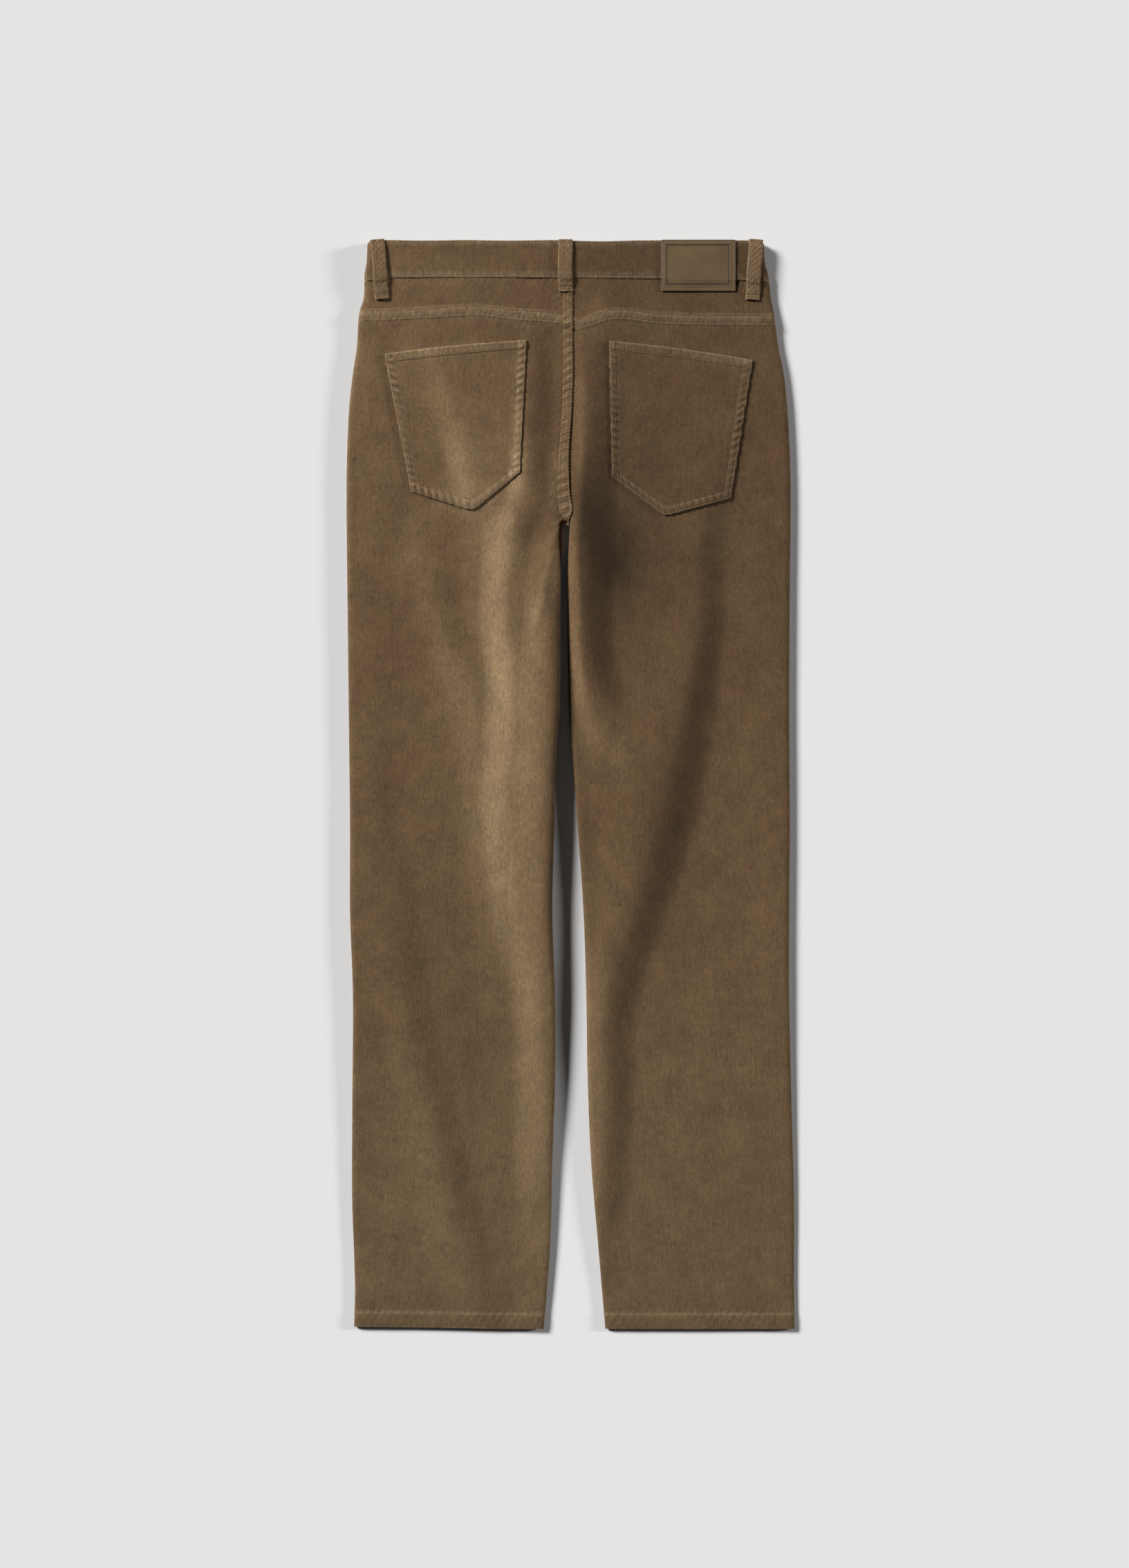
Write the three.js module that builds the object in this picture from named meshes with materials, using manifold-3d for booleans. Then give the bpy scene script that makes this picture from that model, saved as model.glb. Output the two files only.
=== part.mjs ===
// Corduroy trousers laid flat on their front, with the back facing up.
//
// Sizes are in millimetres. +Y runs from the hems to the waist, +Z is up, and -X is the wearer's left.
// The origin is on the surface below, under the middle of the outline.

import * as THREE from 'three';
import { mergeVertices } from 'three/addons/utils/BufferGeometryUtils.js';
import Module from 'manifold-3d';

const wasm = await Module();
wasm.setup();

// Driving dimensions

const WAIST_Y = 536.2;          // top edge of the waistband
const HEM_Y = -536.2;           // edge of the hems
const CLOTH = 2.2;              // thickness of one wall of corduroy
const BAND_CLOTH = 2.4;         // thickness of the doubled waistband
const SEAM_GAP = 0.3;           // clearance between pieces that are sewn together
const LAY_HEIGHT = 8;           // back panel above the surface, where no fold lifts it
const LAY_SLACK = 0.2;          // how far a fold rises before it takes the front panel with it
const ROLL = 6;                 // width of the rounded edge at the side and inner leg seams
const ROLL_ANGLES = [0, 32, 62, 90];

const BAND_TOP = 9.6;           // back waistband above the surface
const BAND_REST = 1.8;          // front waistband above the surface, lying on its loops and button
const BAND_REST_FADE = [440, 470];  // heights between which the front comes down from the band
const BAND_LAP = 22;            // reach of the buttonhole end past the centre front
const BAND_UNDERLAP = 18;       // reach of the button end past the centre front
const BAND_STEP = [28, 46];     // distances from the centre over which the button end rises

const CROTCH_Y = 254.3;         // centre of the round top of the gap between the legs
const SEAT_OFFSETS = [0, 2.6, 5.2, 8];   // columns beside the seat seam
const SEAT_BLEND = [256, 284];  // heights between which they turn into the inner leg's roll

const FELL_WIDTH = 9.5;         // felled seam below the yoke
const FELL_RISE = 0.9;
const HEM_WIDTH = 15;
const HEM_RISE = 0.7;
const EDGE_SLOPE = 1.5;         // length over which a raised band falls to the cloth

const LEG_FLAT_COLUMNS = 10;    // between the two rolls of a back panel
const FRONT_FLAT_COLUMNS = 5;

// Outer edges of the outline, from the waist down

const OUTLINE = [
  { y: 536.2, left: -200.0, right: 190.3 },
  { y: 515.8, left: -200.9, right: 191.4 },
  { y: 503.5, left: -203.0, right: 194.8 },
  { y: 479.1, left: -203.7, right: 196.9 },
  { y: 462.7, left: -208.4, right: 200.3 },
  { y: 431.5, left: -210.5, right: 204.3 },
  { y: 404.3, left: -214.5, right: 209.8 },
  { y: 363.5, left: -218.6, right: 213.9 },
  { y: 295.5, left: -220.7, right: 216.6 },
  { y: 200.3, left: -220.0, right: 215.9 },
  { y: 77.9, left: -218.6, right: 215.2 },
  { y: -44.5, left: -217.3, right: 215.9 },
  { y: -126.1, left: -217.3, right: 215.2 },
  { y: -207.7, left: -214.5, right: 215.2 },
  { y: -330.1, left: -215.2, right: 217.9 },
  { y: -411.7, left: -215.2, right: 220.0 },
  { y: -493.3, left: -212.5, right: 220.0 },
  { y: -536.2, left: -213.4, right: 220.7 },
];

// The gap between the legs

const LEG_GAP = [
  { y: 254.3, centre: -4.8, width: 7.5 },
  { y: 200.3, centre: -6.5, width: 6.8 },
  { y: 77.9, centre: -6.1, width: 8.8 },
  { y: 37.1, centre: -6.4, width: 14.9 },
  { y: -44.5, centre: -4.5, width: 23.1 },
  { y: -126.1, centre: -2.7, width: 30.6 },
  { y: -207.7, centre: 0, width: 30.6 },
  { y: -289.3, centre: 0.7, width: 32 },
  { y: -370.9, centre: 1.0, width: 38.1 },
  { y: -452.5, centre: 3.4, width: 47 },
  { y: -536.2, centre: 3.8, width: 60.5 },
];

// Seam lines, each across or down the garment

const SEAT_SEAM = [
  { y: 536.2, x: -5.1 },
  { y: 483.8, x: -4.6 },
  { y: 442, x: -2.7 },
  { y: 371.6, x: -4.1 },
  { y: 311, x: -6.5 },
  { y: 288, x: -7.0 },
  { y: 258, x: -4.8 },
];

const FLY_SEAM = [
  { y: 536.2, x: 6 },
  { y: 340, x: 4 },
  { y: 305, x: -5 },
  { y: 258, x: -4.8 },
];

const WAIST_SEAM = [
  { x: -204, y: 494 },
  { x: -170, y: 498 },
  { x: 160, y: 495.8 },
  { x: 197, y: 492.7 },
];

const YOKE_SEAM = [
  { x: -212, y: 465.4 },
  { x: -180, y: 466.1 },
  { x: -119, y: 469.5 },
  { x: -92, y: 470.9 },
  { x: -58, y: 466.8 },
  { x: -12, y: 462.7 },
  { x: 4.4, y: 456.6 },
  { x: 42, y: 466.8 },
  { x: 91, y: 462.4 },
  { x: 205, y: 460.7 },
];

// Largest folds. Each has a crest that runs down the garment, a flank on the left as wide as
// `rise`, and a flank on the right as wide as `fall`.

const FOLDS = [
  {
    name: 'left inner leg', rise: 42, fall: 60,
    crest: [
      { y: 330, x: -44, height: 0 },
      { y: 262, x: -46, height: 5 },
      { y: 200, x: -49, height: 6.5 },
      { y: 139, x: -51, height: 6.5 },
      { y: -31, x: -48, height: 5.5 },
      { y: -167, x: -36, height: 4.5 },
      { y: -235, x: -24, height: 4 },
      { y: -400, x: -30, height: 2.6 },
      { y: -536.2, x: -34, height: 1.2 },
    ],
  },
  {
    name: 'left of the seat seam', rise: 17, fall: 27,
    crest: [
      { y: 468, x: -36, height: 0 },
      { y: 425, x: -40, height: 2.4 },
      { y: 364, x: -43, height: 4 },
      { y: 309, x: -44, height: 4.4 },
      { y: 275, x: -48, height: 3 },
      { y: 241, x: -60, height: 1.2 },
      { y: 215, x: -66, height: 0 },
    ],
  },
  {
    name: 'across the left pocket', rise: 24, fall: 42,
    crest: [
      { y: 430, x: -134, height: 0 },
      { y: 391, x: -121, height: 1.8 },
      { y: 310, x: -98, height: 2 },
      { y: 262, x: -86, height: 0 },
    ],
  },
  {
    name: 'right of the seat seam', rise: 17, fall: 38,
    crest: [
      { y: 470, x: 12, height: 0 },
      { y: 440, x: 14, height: 2.6 },
      { y: 384, x: 16, height: 5.4 },
      { y: 295, x: 15, height: 7.6 },
      { y: 241, x: 16, height: 8.6 },
      { y: 139, x: 19, height: 7.2 },
      { y: 57, x: 23, height: 5 },
      { y: 0, x: 38, height: 3.4 },
      { y: -90, x: 52, height: 0 },
    ],
  },
  {
    name: 'down the right leg', rise: 72, fall: 22,
    crest: [
      { y: 400, x: 164, height: 0 },
      { y: 336, x: 155, height: 2.4 },
      { y: 241, x: 132, height: 4.4 },
      { y: 112, x: 126, height: 5 },
      { y: 3, x: 109, height: 5.2 },
      { y: -113, x: 76, height: 4.8 },
      { y: -187, x: 50, height: 4.4 },
      { y: -303, x: 46, height: 3.6 },
      { y: -405, x: 39, height: 2.2 },
      { y: -500, x: 36, height: 0 },
    ],
  },
  {
    name: 'lower left leg', rise: 34, fall: 20,
    crest: [
      { y: -150, x: -166, height: 0 },
      { y: -230, x: -148, height: 1.4 },
      { y: -380, x: -104, height: 2 },
      { y: -500, x: -70, height: 1.2 },
      { y: -536.2, x: -62, height: 0.8 },
    ],
  },
];

// Rows of points down the legs. They are close together round the crotch.

const LEG_ROWS = [
  430, 400, 370, 340, 312, 290, 276, 268, 262.5, 260.2, 258, 256.2, 254.3,
  248, 236, 218, 194, 164, 128, 88, 44, 0, -46, -94, -142, -192, -244, -300, -358, -416, -470,
];
const FRONT_TOP_ROWS = [478, 468, 454, 440];

// Patch pockets: the corners of each, from the upper outer one round by the seat seam to the tip

const POCKET_CLOTH = 1.5;
const POCKET_HEM_CLOTH = 2.2;
const POCKET_HEM = 10;
const POCKETS = [
  {
    name: 'back_pocket_left', side: 'left',
    corners: [[-183.3, 423.3], [-43.2, 436.9], [-50, 306.3], [-96.9, 268.3], [-156.7, 287.3]],
  },
  {
    name: 'back_pocket_right', side: 'right',
    corners: [[179.2, 417.2], [37.7, 436.2], [40.5, 302.3], [92.8, 262.8], [157.4, 280.5]],
  },
];

const SEAT_FELL_EDGE = 0.5;     // height of the felled seat seam at its edges
const SEAT_FELL_CROWN = 1.9;    // and along its middle
const SEAT_PUCKER = 0.45;       // depth of the puckers across it
const SEAT_PUCKER_PITCH = 6;      // length of one pucker
const SEAT_FELL_TOP = 482;
const SEAT_FELL_BOTTOM = 262;
const SEAT_FELL_COLUMNS = 3;    // columns of each panel that it covers

const LOOP_CLOTH = 1.5;
const LOOP_WIDTH = 14;
const LOOP_BULGE = 1.3;         // room under a loop for the belt to slide
const LOOP_INSET = 1;           // from the waistband's top edge to a loop's
const BACK_LOOPS = [
  { name: 'belt_loop_back_left', topX: -190, bottomX: -185.3, bottomY: 477 },
  { name: 'belt_loop_back_centre', topX: -5.4, bottomX: -5.1, bottomY: 484.5 },
  { name: 'belt_loop_back_right', topX: 182.2, bottomX: 178.5, bottomY: 476.4 },
];
const FRONT_LOOPS = [
  { name: 'belt_loop_front_left', x: -96 },
  { name: 'belt_loop_front_right', x: 86 },
];
const FRONT_LOOP_BOTTOM = 480;

const LABEL = { left: 88.8, right: 162.2, top: 535.4, bottom: 484.6, cloth: 1.3 };
const BUTTON = { radius: 8.5, height: 1.5, segments: 28 };

const SCOOP_ALONG_WAIST = 96;   // front pocket opening, along the waist seam
const SCOOP_DOWN_SIDE = 84;     // and down the side seam

// Finishes

const CORDUROY = new THREE.MeshStandardMaterial({ color: 0x67513d, roughness: 0.95, metalness: 0 });
const CORDUROY_LIGHT = new THREE.MeshStandardMaterial({ color: 0x745e46, roughness: 0.95, metalness: 0 });
const LEATHER = new THREE.MeshStandardMaterial({ color: 0x624e36, roughness: 0.6, metalness: 0 });
const BRASS = new THREE.MeshStandardMaterial({ color: 0x8a7350, roughness: 0.4, metalness: 0.9 });

const { smoothstep, lerp, degToRad } = THREE.MathUtils;

/** Value of a column at a place in a table, on a smooth curve through its rows. */
function follow(table, key, place, column) {
  const rising = table[table.length - 1][key] > table[0][key];
  const rows = rising ? table : [...table].reverse();
  const last = rows.length - 1;
  if (place <= rows[0][key]) return rows[0][column];
  if (place >= rows[last][key]) return rows[last][column];
  const i = rows.findIndex((row) => row[key] > place) - 1;
  const slope = (k) => {
    const before = rows[Math.max(k - 1, 0)];
    const after = rows[Math.min(k + 1, last)];
    return (after[column] - before[column]) / (after[key] - before[key]);
  };
  const span = rows[i + 1][key] - rows[i][key];
  const t = (place - rows[i][key]) / span;
  const start = rows[i][column] * (1 + 2 * t) * (1 - t) ** 2 + slope(i) * span * t * (1 - t) ** 2;
  const end = rows[i + 1][column] * t * t * (3 - 2 * t) + slope(i + 1) * span * t * t * (t - 1);
  return start + end;
}

const outerEdge = (side, y) => follow(OUTLINE, 'y', y, side);
const waistSeamY = (x) => follow(WAIST_SEAM, 'x', x, 'y');
const yokeSeamY = (x) => follow(YOKE_SEAM, 'x', x, 'y');

/** How far the folds lift the cloth at a point. */
function foldHeight(x, y) {
  let height = 0;
  for (const { crest, rise, fall } of FOLDS) {
    const peak = follow(crest, 'y', y, 'height');
    const offset = x - follow(crest, 'y', y, 'x');
    const beyond = y > crest[0].y || y < crest[crest.length - 1].y;
    const flank = offset < 0 ? 1 + offset / rise : 1 - offset / fall;
    if (!beyond) height += Math.max(peak, 0) * smoothstep(flank, 0, 1);
  }
  return height;
}

/** Top of the back panel, and underside of the front panel, away from the rolled edges. */
function layers(x, y) {
  const lift = foldHeight(x, y);
  const byTheBand = BAND_REST * smoothstep(y, ...BAND_REST_FADE);
  const under = Math.max(byTheBand, lift - LAY_SLACK, 0);
  return { top: LAY_HEIGHT + lift, under };
}

/** Half of the gap between the panels of the two sides at a height, with a wall's inside set back. */
function halfGap(y, inset) {
  if (y <= CROTCH_Y) return follow(LEG_GAP, 'y', y, 'width') / 2 + inset;
  const radius = LEG_GAP[0].width / 2 + inset;
  return Math.max(Math.sqrt(Math.max(radius ** 2 - (y - CROTCH_Y) ** 2, 0)), SEAM_GAP / 2);
}

/** Distance from a point to the edge of the gap between the legs. */
function distanceToGap(x, y) {
  if (y <= CROTCH_Y) {
    return Math.abs(x - follow(LEG_GAP, 'y', y, 'centre')) - follow(LEG_GAP, 'y', y, 'width') / 2;
  }
  return Math.hypot(x - LEG_GAP[0].centre, y - CROTCH_Y) - LEG_GAP[0].width / 2;
}

/** Share of its full height that a wall has at some distance from a rolled edge. */
function rollShare(distance, inset) {
  const reach = Math.min(Math.max((distance - inset) / (ROLL - inset), 0), 1);
  return Math.sqrt(1 - (1 - reach) ** 2);
}

/** Height of one face of a panel. */
function panelHeight(panel, x, y, inset, raise) {
  const { top, under } = layers(x, y);
  const middle = (top + under) / 2;
  const share = rollShare(Math.abs(x - outerEdge(panel.side, y)), inset) * rollShare(distanceToGap(x, y), inset);
  const full = (top - under) / 2 - inset - SEAM_GAP / 2 + raise;
  const away = SEAM_GAP / 2 + full * share;
  return panel.faces === 'back' ? middle + away : middle - away;
}

/** Places of a panel's columns at a height, from its outer edge to its inner edge. */
function columnPlaces(panel, y, inset) {
  const towards = panel.side === 'left' ? 1 : -1;
  const curl = ROLL - inset;
  const outer = outerEdge(panel.side, y) + towards * inset;
  const middle = y > CROTCH_Y ? follow(panel.seam, 'y', y, 'x') : follow(LEG_GAP, 'y', y, 'centre');
  const inner = middle - towards * halfGap(y, inset);
  const above = smoothstep(y, ...SEAT_BLEND);
  const fromOuter = ROLL_ANGLES.map((angle) => curl * (1 - Math.cos(degToRad(angle))));
  const fromInner = fromOuter.map((offset, i) => lerp(offset, SEAT_OFFSETS[i], above));
  const flatStart = outer + towards * curl;
  const flatEnd = inner - towards * fromInner[fromInner.length - 1];
  const flat = [];
  for (let i = 1; i < panel.flatColumns; i += 1) flat.push(lerp(flatStart, flatEnd, i / panel.flatColumns));
  return [
    ...fromOuter.map((offset) => outer + towards * offset),
    ...flat,
    ...fromInner.map((offset) => inner - towards * offset).reverse(),
  ];
}

/** Height of a row at a place. A row states it, or lies a distance below one seam line or between two. */
function rowHeight(row, x) {
  if (!row.seam) return row.y;
  return (row.nextSeam ? lerp(row.seam(x), row.nextSeam(x), row.share) : row.seam(x)) - row.below;
}

/** One row of points. Its places are found in a few steps, since its edges depend on its height. */
function panelRow(panel, row, inset) {
  const raise = inset ? 0 : (row.raise ?? 0);
  return columnPlaces(panel, rowHeight(row, 0), inset).map((guess, i) => {
    let x = guess;
    for (let step = 0; step < 3; step += 1) x = columnPlaces(panel, rowHeight(row, x), inset)[i];
    const y = rowHeight(row, x);
    return new THREE.Vector3(x, y, panelHeight(panel, x, y, inset, raise));
  });
}

/** Outer and inner points of a panel's wall. */
function panelPoints(panel) {
  return {
    outer: panel.rows.map((row) => panelRow(panel, row, 0)),
    inner: panel.rows.map((row) => panelRow(panel, row, CLOTH)),
  };
}

/** Closed wall between two grids of points. */
function wall(outer, inner) {
  const rows = outer.length;
  const columns = outer[0].length;
  const points = [...outer.flat(), ...inner.flat()];
  const at = (row, column) => row * columns + column;
  const behind = (row, column) => rows * columns + at(row, column);
  const faces = [];
  const quad = (a, b, c, d) => faces.push(a, b, c, a, c, d);
  for (let r = 0; r + 1 < rows; r += 1) {
    for (let c = 0; c + 1 < columns; c += 1) {
      quad(at(r, c), at(r + 1, c), at(r + 1, c + 1), at(r, c + 1));
      quad(behind(r, c), behind(r, c + 1), behind(r + 1, c + 1), behind(r + 1, c));
    }
    quad(at(r, 0), behind(r, 0), behind(r + 1, 0), at(r + 1, 0));
    quad(at(r, columns - 1), at(r + 1, columns - 1), behind(r + 1, columns - 1), behind(r, columns - 1));
  }
  for (let c = 0; c + 1 < columns; c += 1) {
    quad(at(0, c), at(0, c + 1), behind(0, c + 1), behind(0, c));
    quad(at(rows - 1, c), behind(rows - 1, c), behind(rows - 1, c + 1), at(rows - 1, c + 1));
  }
  const geometry = new THREE.BufferGeometry().setFromPoints(points);
  geometry.setIndex(faces);
  return facingOut(geometry);
}

/** Turns a closed body's faces round where they point in. */
function facingOut(geometry) {
  const [a, b, c] = [new THREE.Vector3(), new THREE.Vector3(), new THREE.Vector3()];
  const place = geometry.getAttribute('position');
  const index = geometry.index.array;
  let volume = 0;
  for (let i = 0; i < index.length; i += 3) {
    [a, b, c].forEach((corner, k) => corner.fromBufferAttribute(place, index[i + k]));
    volume += a.dot(b.cross(c));
  }
  if (volume < 0) {
    for (let i = 0; i < index.length; i += 3) [index[i], index[i + 1]] = [index[i + 1], index[i]];
  }
  return geometry;
}

/** Copy of a grid of points, moved up. */
const raised = (grid, height) => grid.map((row) => row.map((point) => point.clone().setZ(point.z + height)));

function toSolid(geometry) {
  const plain = geometry.clone();
  plain.deleteAttribute('normal');
  plain.deleteAttribute('uv');
  const merged = mergeVertices(plain, 1e-4);
  const vertProperties = new Float32Array(merged.getAttribute('position').array);
  const triVerts = new Uint32Array(merged.index.array);
  return new wasm.Manifold(new wasm.Mesh({ numProp: 3, vertProperties, triVerts }));
}

function toGeometry(solid) {
  const { vertProperties, triVerts } = solid.getMesh();
  const geometry = new THREE.BufferGeometry();
  geometry.setAttribute('position', new THREE.BufferAttribute(new Float32Array(vertProperties), 3));
  geometry.setIndex(new THREE.BufferAttribute(new Uint32Array(triVerts), 1));
  return geometry;
}

/** Upright prism on an outline, tall enough to pass through the whole garment. */
function upright(shape) {
  const margin = 5;
  const geometry = new THREE.ExtrudeGeometry(shape, {
    depth: BAND_TOP * 3 + 2 * margin, bevelEnabled: false, curveSegments: 12,
  });
  return toSolid(geometry.translate(0, 0, -margin));
}

const garment = new THREE.Group();

function add(name, geometry, material) {
  const mesh = new THREE.Mesh(geometry, material);
  mesh.name = name;
  garment.add(mesh);
  return mesh;
}

// Back panels and yokes

const HALF_SEAM = SEAM_GAP / 2;

function backPanel(side) {
  const rows = [
    { seam: yokeSeamY, below: HALF_SEAM, raise: FELL_RISE },
    { seam: yokeSeamY, below: FELL_WIDTH, raise: FELL_RISE },
    { seam: yokeSeamY, below: FELL_WIDTH + EDGE_SLOPE },
    ...LEG_ROWS.map((y) => ({ y })),
    { y: HEM_Y + HEM_WIDTH + EDGE_SLOPE },
    { y: HEM_Y + HEM_WIDTH, raise: HEM_RISE },
    { y: HEM_Y, raise: HEM_RISE },
  ];
  return { side, faces: 'back', seam: SEAT_SEAM, flatColumns: LEG_FLAT_COLUMNS, rows };
}

function yokePanel(side) {
  const between = (share, below) => ({ seam: waistSeamY, nextSeam: yokeSeamY, share, below });
  const rows = [between(0, HALF_SEAM), between(0.5, 0), between(1, -HALF_SEAM)];
  return { side, faces: 'back', seam: SEAT_SEAM, flatColumns: LEG_FLAT_COLUMNS, rows };
}

const backs = {};
const yokes = {};
for (const side of ['left', 'right']) {
  backs[side] = panelPoints(backPanel(side));
  yokes[side] = panelPoints(yokePanel(side));
  add(`back_leg_${side}`, wall(backs[side].outer, backs[side].inner), CORDUROY);
  add(`back_yoke_${side}`, wall(yokes[side].outer, yokes[side].inner), CORDUROY_LIGHT);
}

// Front panels, each with the scoop of its pocket filled by a hip facing

function frontPanel(side) {
  const rows = [
    { seam: waistSeamY, below: HALF_SEAM },
    ...[...FRONT_TOP_ROWS, ...LEG_ROWS.slice(1)].map((y) => ({ y })),
    { y: HEM_Y + HEM_WIDTH },
    { y: HEM_Y },
  ];
  return { side, faces: 'front', seam: FLY_SEAM, flatColumns: FRONT_FLAT_COLUMNS, rows };
}

function scoop(side, growth) {
  const cornerX = outerEdge(side, WAIST_SEAM[0].y);
  const shape = new THREE.Shape();
  shape.absellipse(
    cornerX, waistSeamY(cornerX), SCOOP_ALONG_WAIST + growth, SCOOP_DOWN_SIDE + growth, 0, 2 * Math.PI,
  );
  return upright(shape);
}

const fronts = {};
for (const side of ['left', 'right']) {
  fronts[side] = panelPoints(frontPanel(side));
  const whole = toSolid(wall(fronts[side].outer, fronts[side].inner));
  add(`front_leg_${side}`, toGeometry(whole.subtract(scoop(side, SEAM_GAP))), CORDUROY);
  add(`hip_facing_${side}`, toGeometry(whole.intersect(scoop(side, 0))), CORDUROY_LIGHT);
}

// Waistband: one strip that runs from the buttonhole end round the back to the button end

const bandY = (share, x) => lerp(WAIST_Y, waistSeamY(x) + HALF_SEAM, share);

/** Places of the columns between the roll and the middle in a panel's first row. */
const flatPlaces = ({ outer }) => outer[0].slice(ROLL_ANGLES.length).map((point) => point.x);

/** Stations along the strip: a place across the garment, and the height of the face there. */
function bandStations(share, inset) {
  const curl = ROLL - inset;
  const middle = (BAND_TOP + BAND_REST) / 2;
  const swing = (BAND_TOP - BAND_REST) / 2 - inset;
  const centre = FLY_SEAM[0].x;
  const left = outerEdge('left', bandY(share, WAIST_SEAM[0].x)) + inset;
  const right = outerEdge('right', bandY(share, WAIST_SEAM[WAIST_SEAM.length - 1].x)) - inset;
  const turn = [...ROLL_ANGLES.slice(1).map((angle) => -angle).reverse(), ...ROLL_ANGLES].map(degToRad);
  const roundLeft = turn.map((angle) => (
    { x: left + curl * (1 - Math.cos(angle)), z: middle + swing * Math.sin(angle) }
  ));
  const roundRight = turn.map((angle) => (
    { x: right - curl * (1 - Math.cos(angle)), z: middle - swing * Math.sin(angle) }
  ));
  const front = (lift) => (x) => ({ x, z: BAND_REST + inset + lift });
  const back = (x) => ({ x, z: BAND_TOP - inset });
  const underLap = flatPlaces(fronts.right).filter((x) => x < centre + BAND_LAP - 1);
  const clearOfLap = flatPlaces(fronts.right).filter((x) => x > centre + BAND_STEP[1] + 1);
  return [
    ...[centre + BAND_LAP, ...underLap, ...flatPlaces(fronts.left).reverse()].map(front(0)),
    ...roundLeft,
    ...[...flatPlaces(yokes.left), ...flatPlaces(yokes.right).reverse()].map(back),
    ...roundRight,
    ...[...clearOfLap, centre + BAND_STEP[1]].map(front(0)),
    ...[centre + BAND_STEP[0], centre - BAND_UNDERLAP].map(front(BAND_CLOTH + SEAM_GAP)),
  ];
}

function bandRow(share, inset) {
  return bandStations(share, inset).map(({ x, z }) => new THREE.Vector3(x, bandY(share, x), z));
}

const BAND_SHARES = [0, 0.6, 1];
add(
  'waistband',
  wall(BAND_SHARES.map((share) => bandRow(share, 0)), BAND_SHARES.map((share) => bandRow(share, BAND_CLOTH))),
  CORDUROY_LIGHT,
);

// Patch pockets, laid on the back panels

function outlineShape(corners) {
  return new THREE.Shape(corners.map(([x, y]) => new THREE.Vector2(x, y)));
}

for (const { name, side, corners } of POCKETS) {
  const laid = backs[side].outer;
  const sheet = (thickness) => toSolid(wall(raised(laid, SEAM_GAP + thickness), raised(laid, SEAM_GAP)));
  const [outerTop, innerTop] = corners;
  const hem = outlineShape([
    outerTop, innerTop, [innerTop[0], innerTop[1] - POCKET_HEM], [outerTop[0], outerTop[1] - POCKET_HEM],
  ]);
  const patch = upright(outlineShape(corners));
  const bag = sheet(POCKET_CLOTH).intersect(patch);
  const turned = sheet(POCKET_HEM_CLOTH).intersect(patch).intersect(upright(hem));
  add(name, toGeometry(bag.add(turned)), CORDUROY_LIGHT);
}

// Felled seat seam: a puckered band laid over the edges of the yokes and back panels

/** Points of the panels' own columns beside the seat seam, from left to right. */
function seatRows() {
  const leftRows = [...yokes.left.outer, ...backs.left.outer];
  const rightRows = [...yokes.right.outer, ...backs.right.outer];
  const rows = leftRows.map((row, i) => [
    ...row.slice(-SEAT_FELL_COLUMNS), ...rightRows[i].slice(-SEAT_FELL_COLUMNS).reverse(),
  ]);
  return rows.filter((row) => row[0].y > SEAT_FELL_BOTTOM);
}

function seatFell() {
  const rows = seatRows();
  const outer = [];
  const inner = [];
  let count = 0;
  for (let i = 0; i + 1 < rows.length; i += 1) {
    const steps = Math.max(1, Math.round((rows[i][0].y - rows[i + 1][0].y) / (SEAT_PUCKER_PITCH / 2)));
    for (let s = 0; s < steps + (i + 2 === rows.length ? 1 : 0); s += 1) {
      const under = rows[i].map((point, c) => point.clone().lerp(rows[i + 1][c], s / steps));
      if (under[0].y > SEAT_FELL_TOP) continue;
      const pucker = count % 2 ? -SEAT_PUCKER : SEAT_PUCKER;
      count += 1;
      const middle = (under.length - 1) / 2;
      outer.push(under.map((point, c) => {
        const crown = 1 - (Math.abs(c - middle) / middle) ** 2;
        const height = lerp(SEAT_FELL_EDGE, SEAT_FELL_CROWN + pucker, crown);
        return point.clone().setZ(point.z + SEAM_GAP + height);
      }));
      inner.push(under.map((point) => point.clone().setZ(point.z + SEAM_GAP)));
    }
  }
  return wall(outer, inner);
}

add('seat_seam', seatFell(), CORDUROY);

// Belt loops, label patch and button

/** Solid with one side profile all along its width. The profile's points are [y, z]. */
function profiled(points, width) {
  const geometry = new THREE.ExtrudeGeometry(
    new THREE.Shape(points.map(([y, z]) => new THREE.Vector2(y, z))),
    { depth: width, bevelEnabled: false },
  );
  const [x, y, z] = [new THREE.Vector3(1, 0, 0), new THREE.Vector3(0, 1, 0), new THREE.Vector3(0, 0, 1)];
  geometry.applyMatrix4(new THREE.Matrix4().makeBasis(y, z, x));
  return geometry.translate(-width / 2, 0, 0);
}

/** Profile of something that lies over the back waistband and down on the yoke. */
function overBand(top, bottom, seamY, thickness, bulge) {
  const onBand = BAND_TOP + SEAM_GAP;
  const onYoke = LAY_HEIGHT + SEAM_GAP;
  const lower = [
    [top, onBand],
    [lerp(top, seamY, 0.25), onBand + bulge],
    [lerp(top, seamY, 0.85), onBand + bulge],
    [seamY - 1.2, onBand],
    [seamY - 5, onYoke],
    [bottom, onYoke],
  ];
  return [...lower, ...lower.map(([y, z]) => [y, z + thickness]).reverse()];
}

for (const { name, topX, bottomX, bottomY } of BACK_LOOPS) {
  const top = WAIST_Y - LOOP_INSET;
  const seamY = waistSeamY((topX + bottomX) / 2);
  const profile = overBand(top, bottomY, seamY, LOOP_CLOTH, LOOP_BULGE).map(([y, z]) => [y - top, z]);
  const loop = add(name, profiled(profile, LOOP_WIDTH), CORDUROY_LIGHT);
  loop.position.set(topX, top, 0);
  loop.rotation.z = Math.atan2(bottomX - topX, top - bottomY);
}

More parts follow.
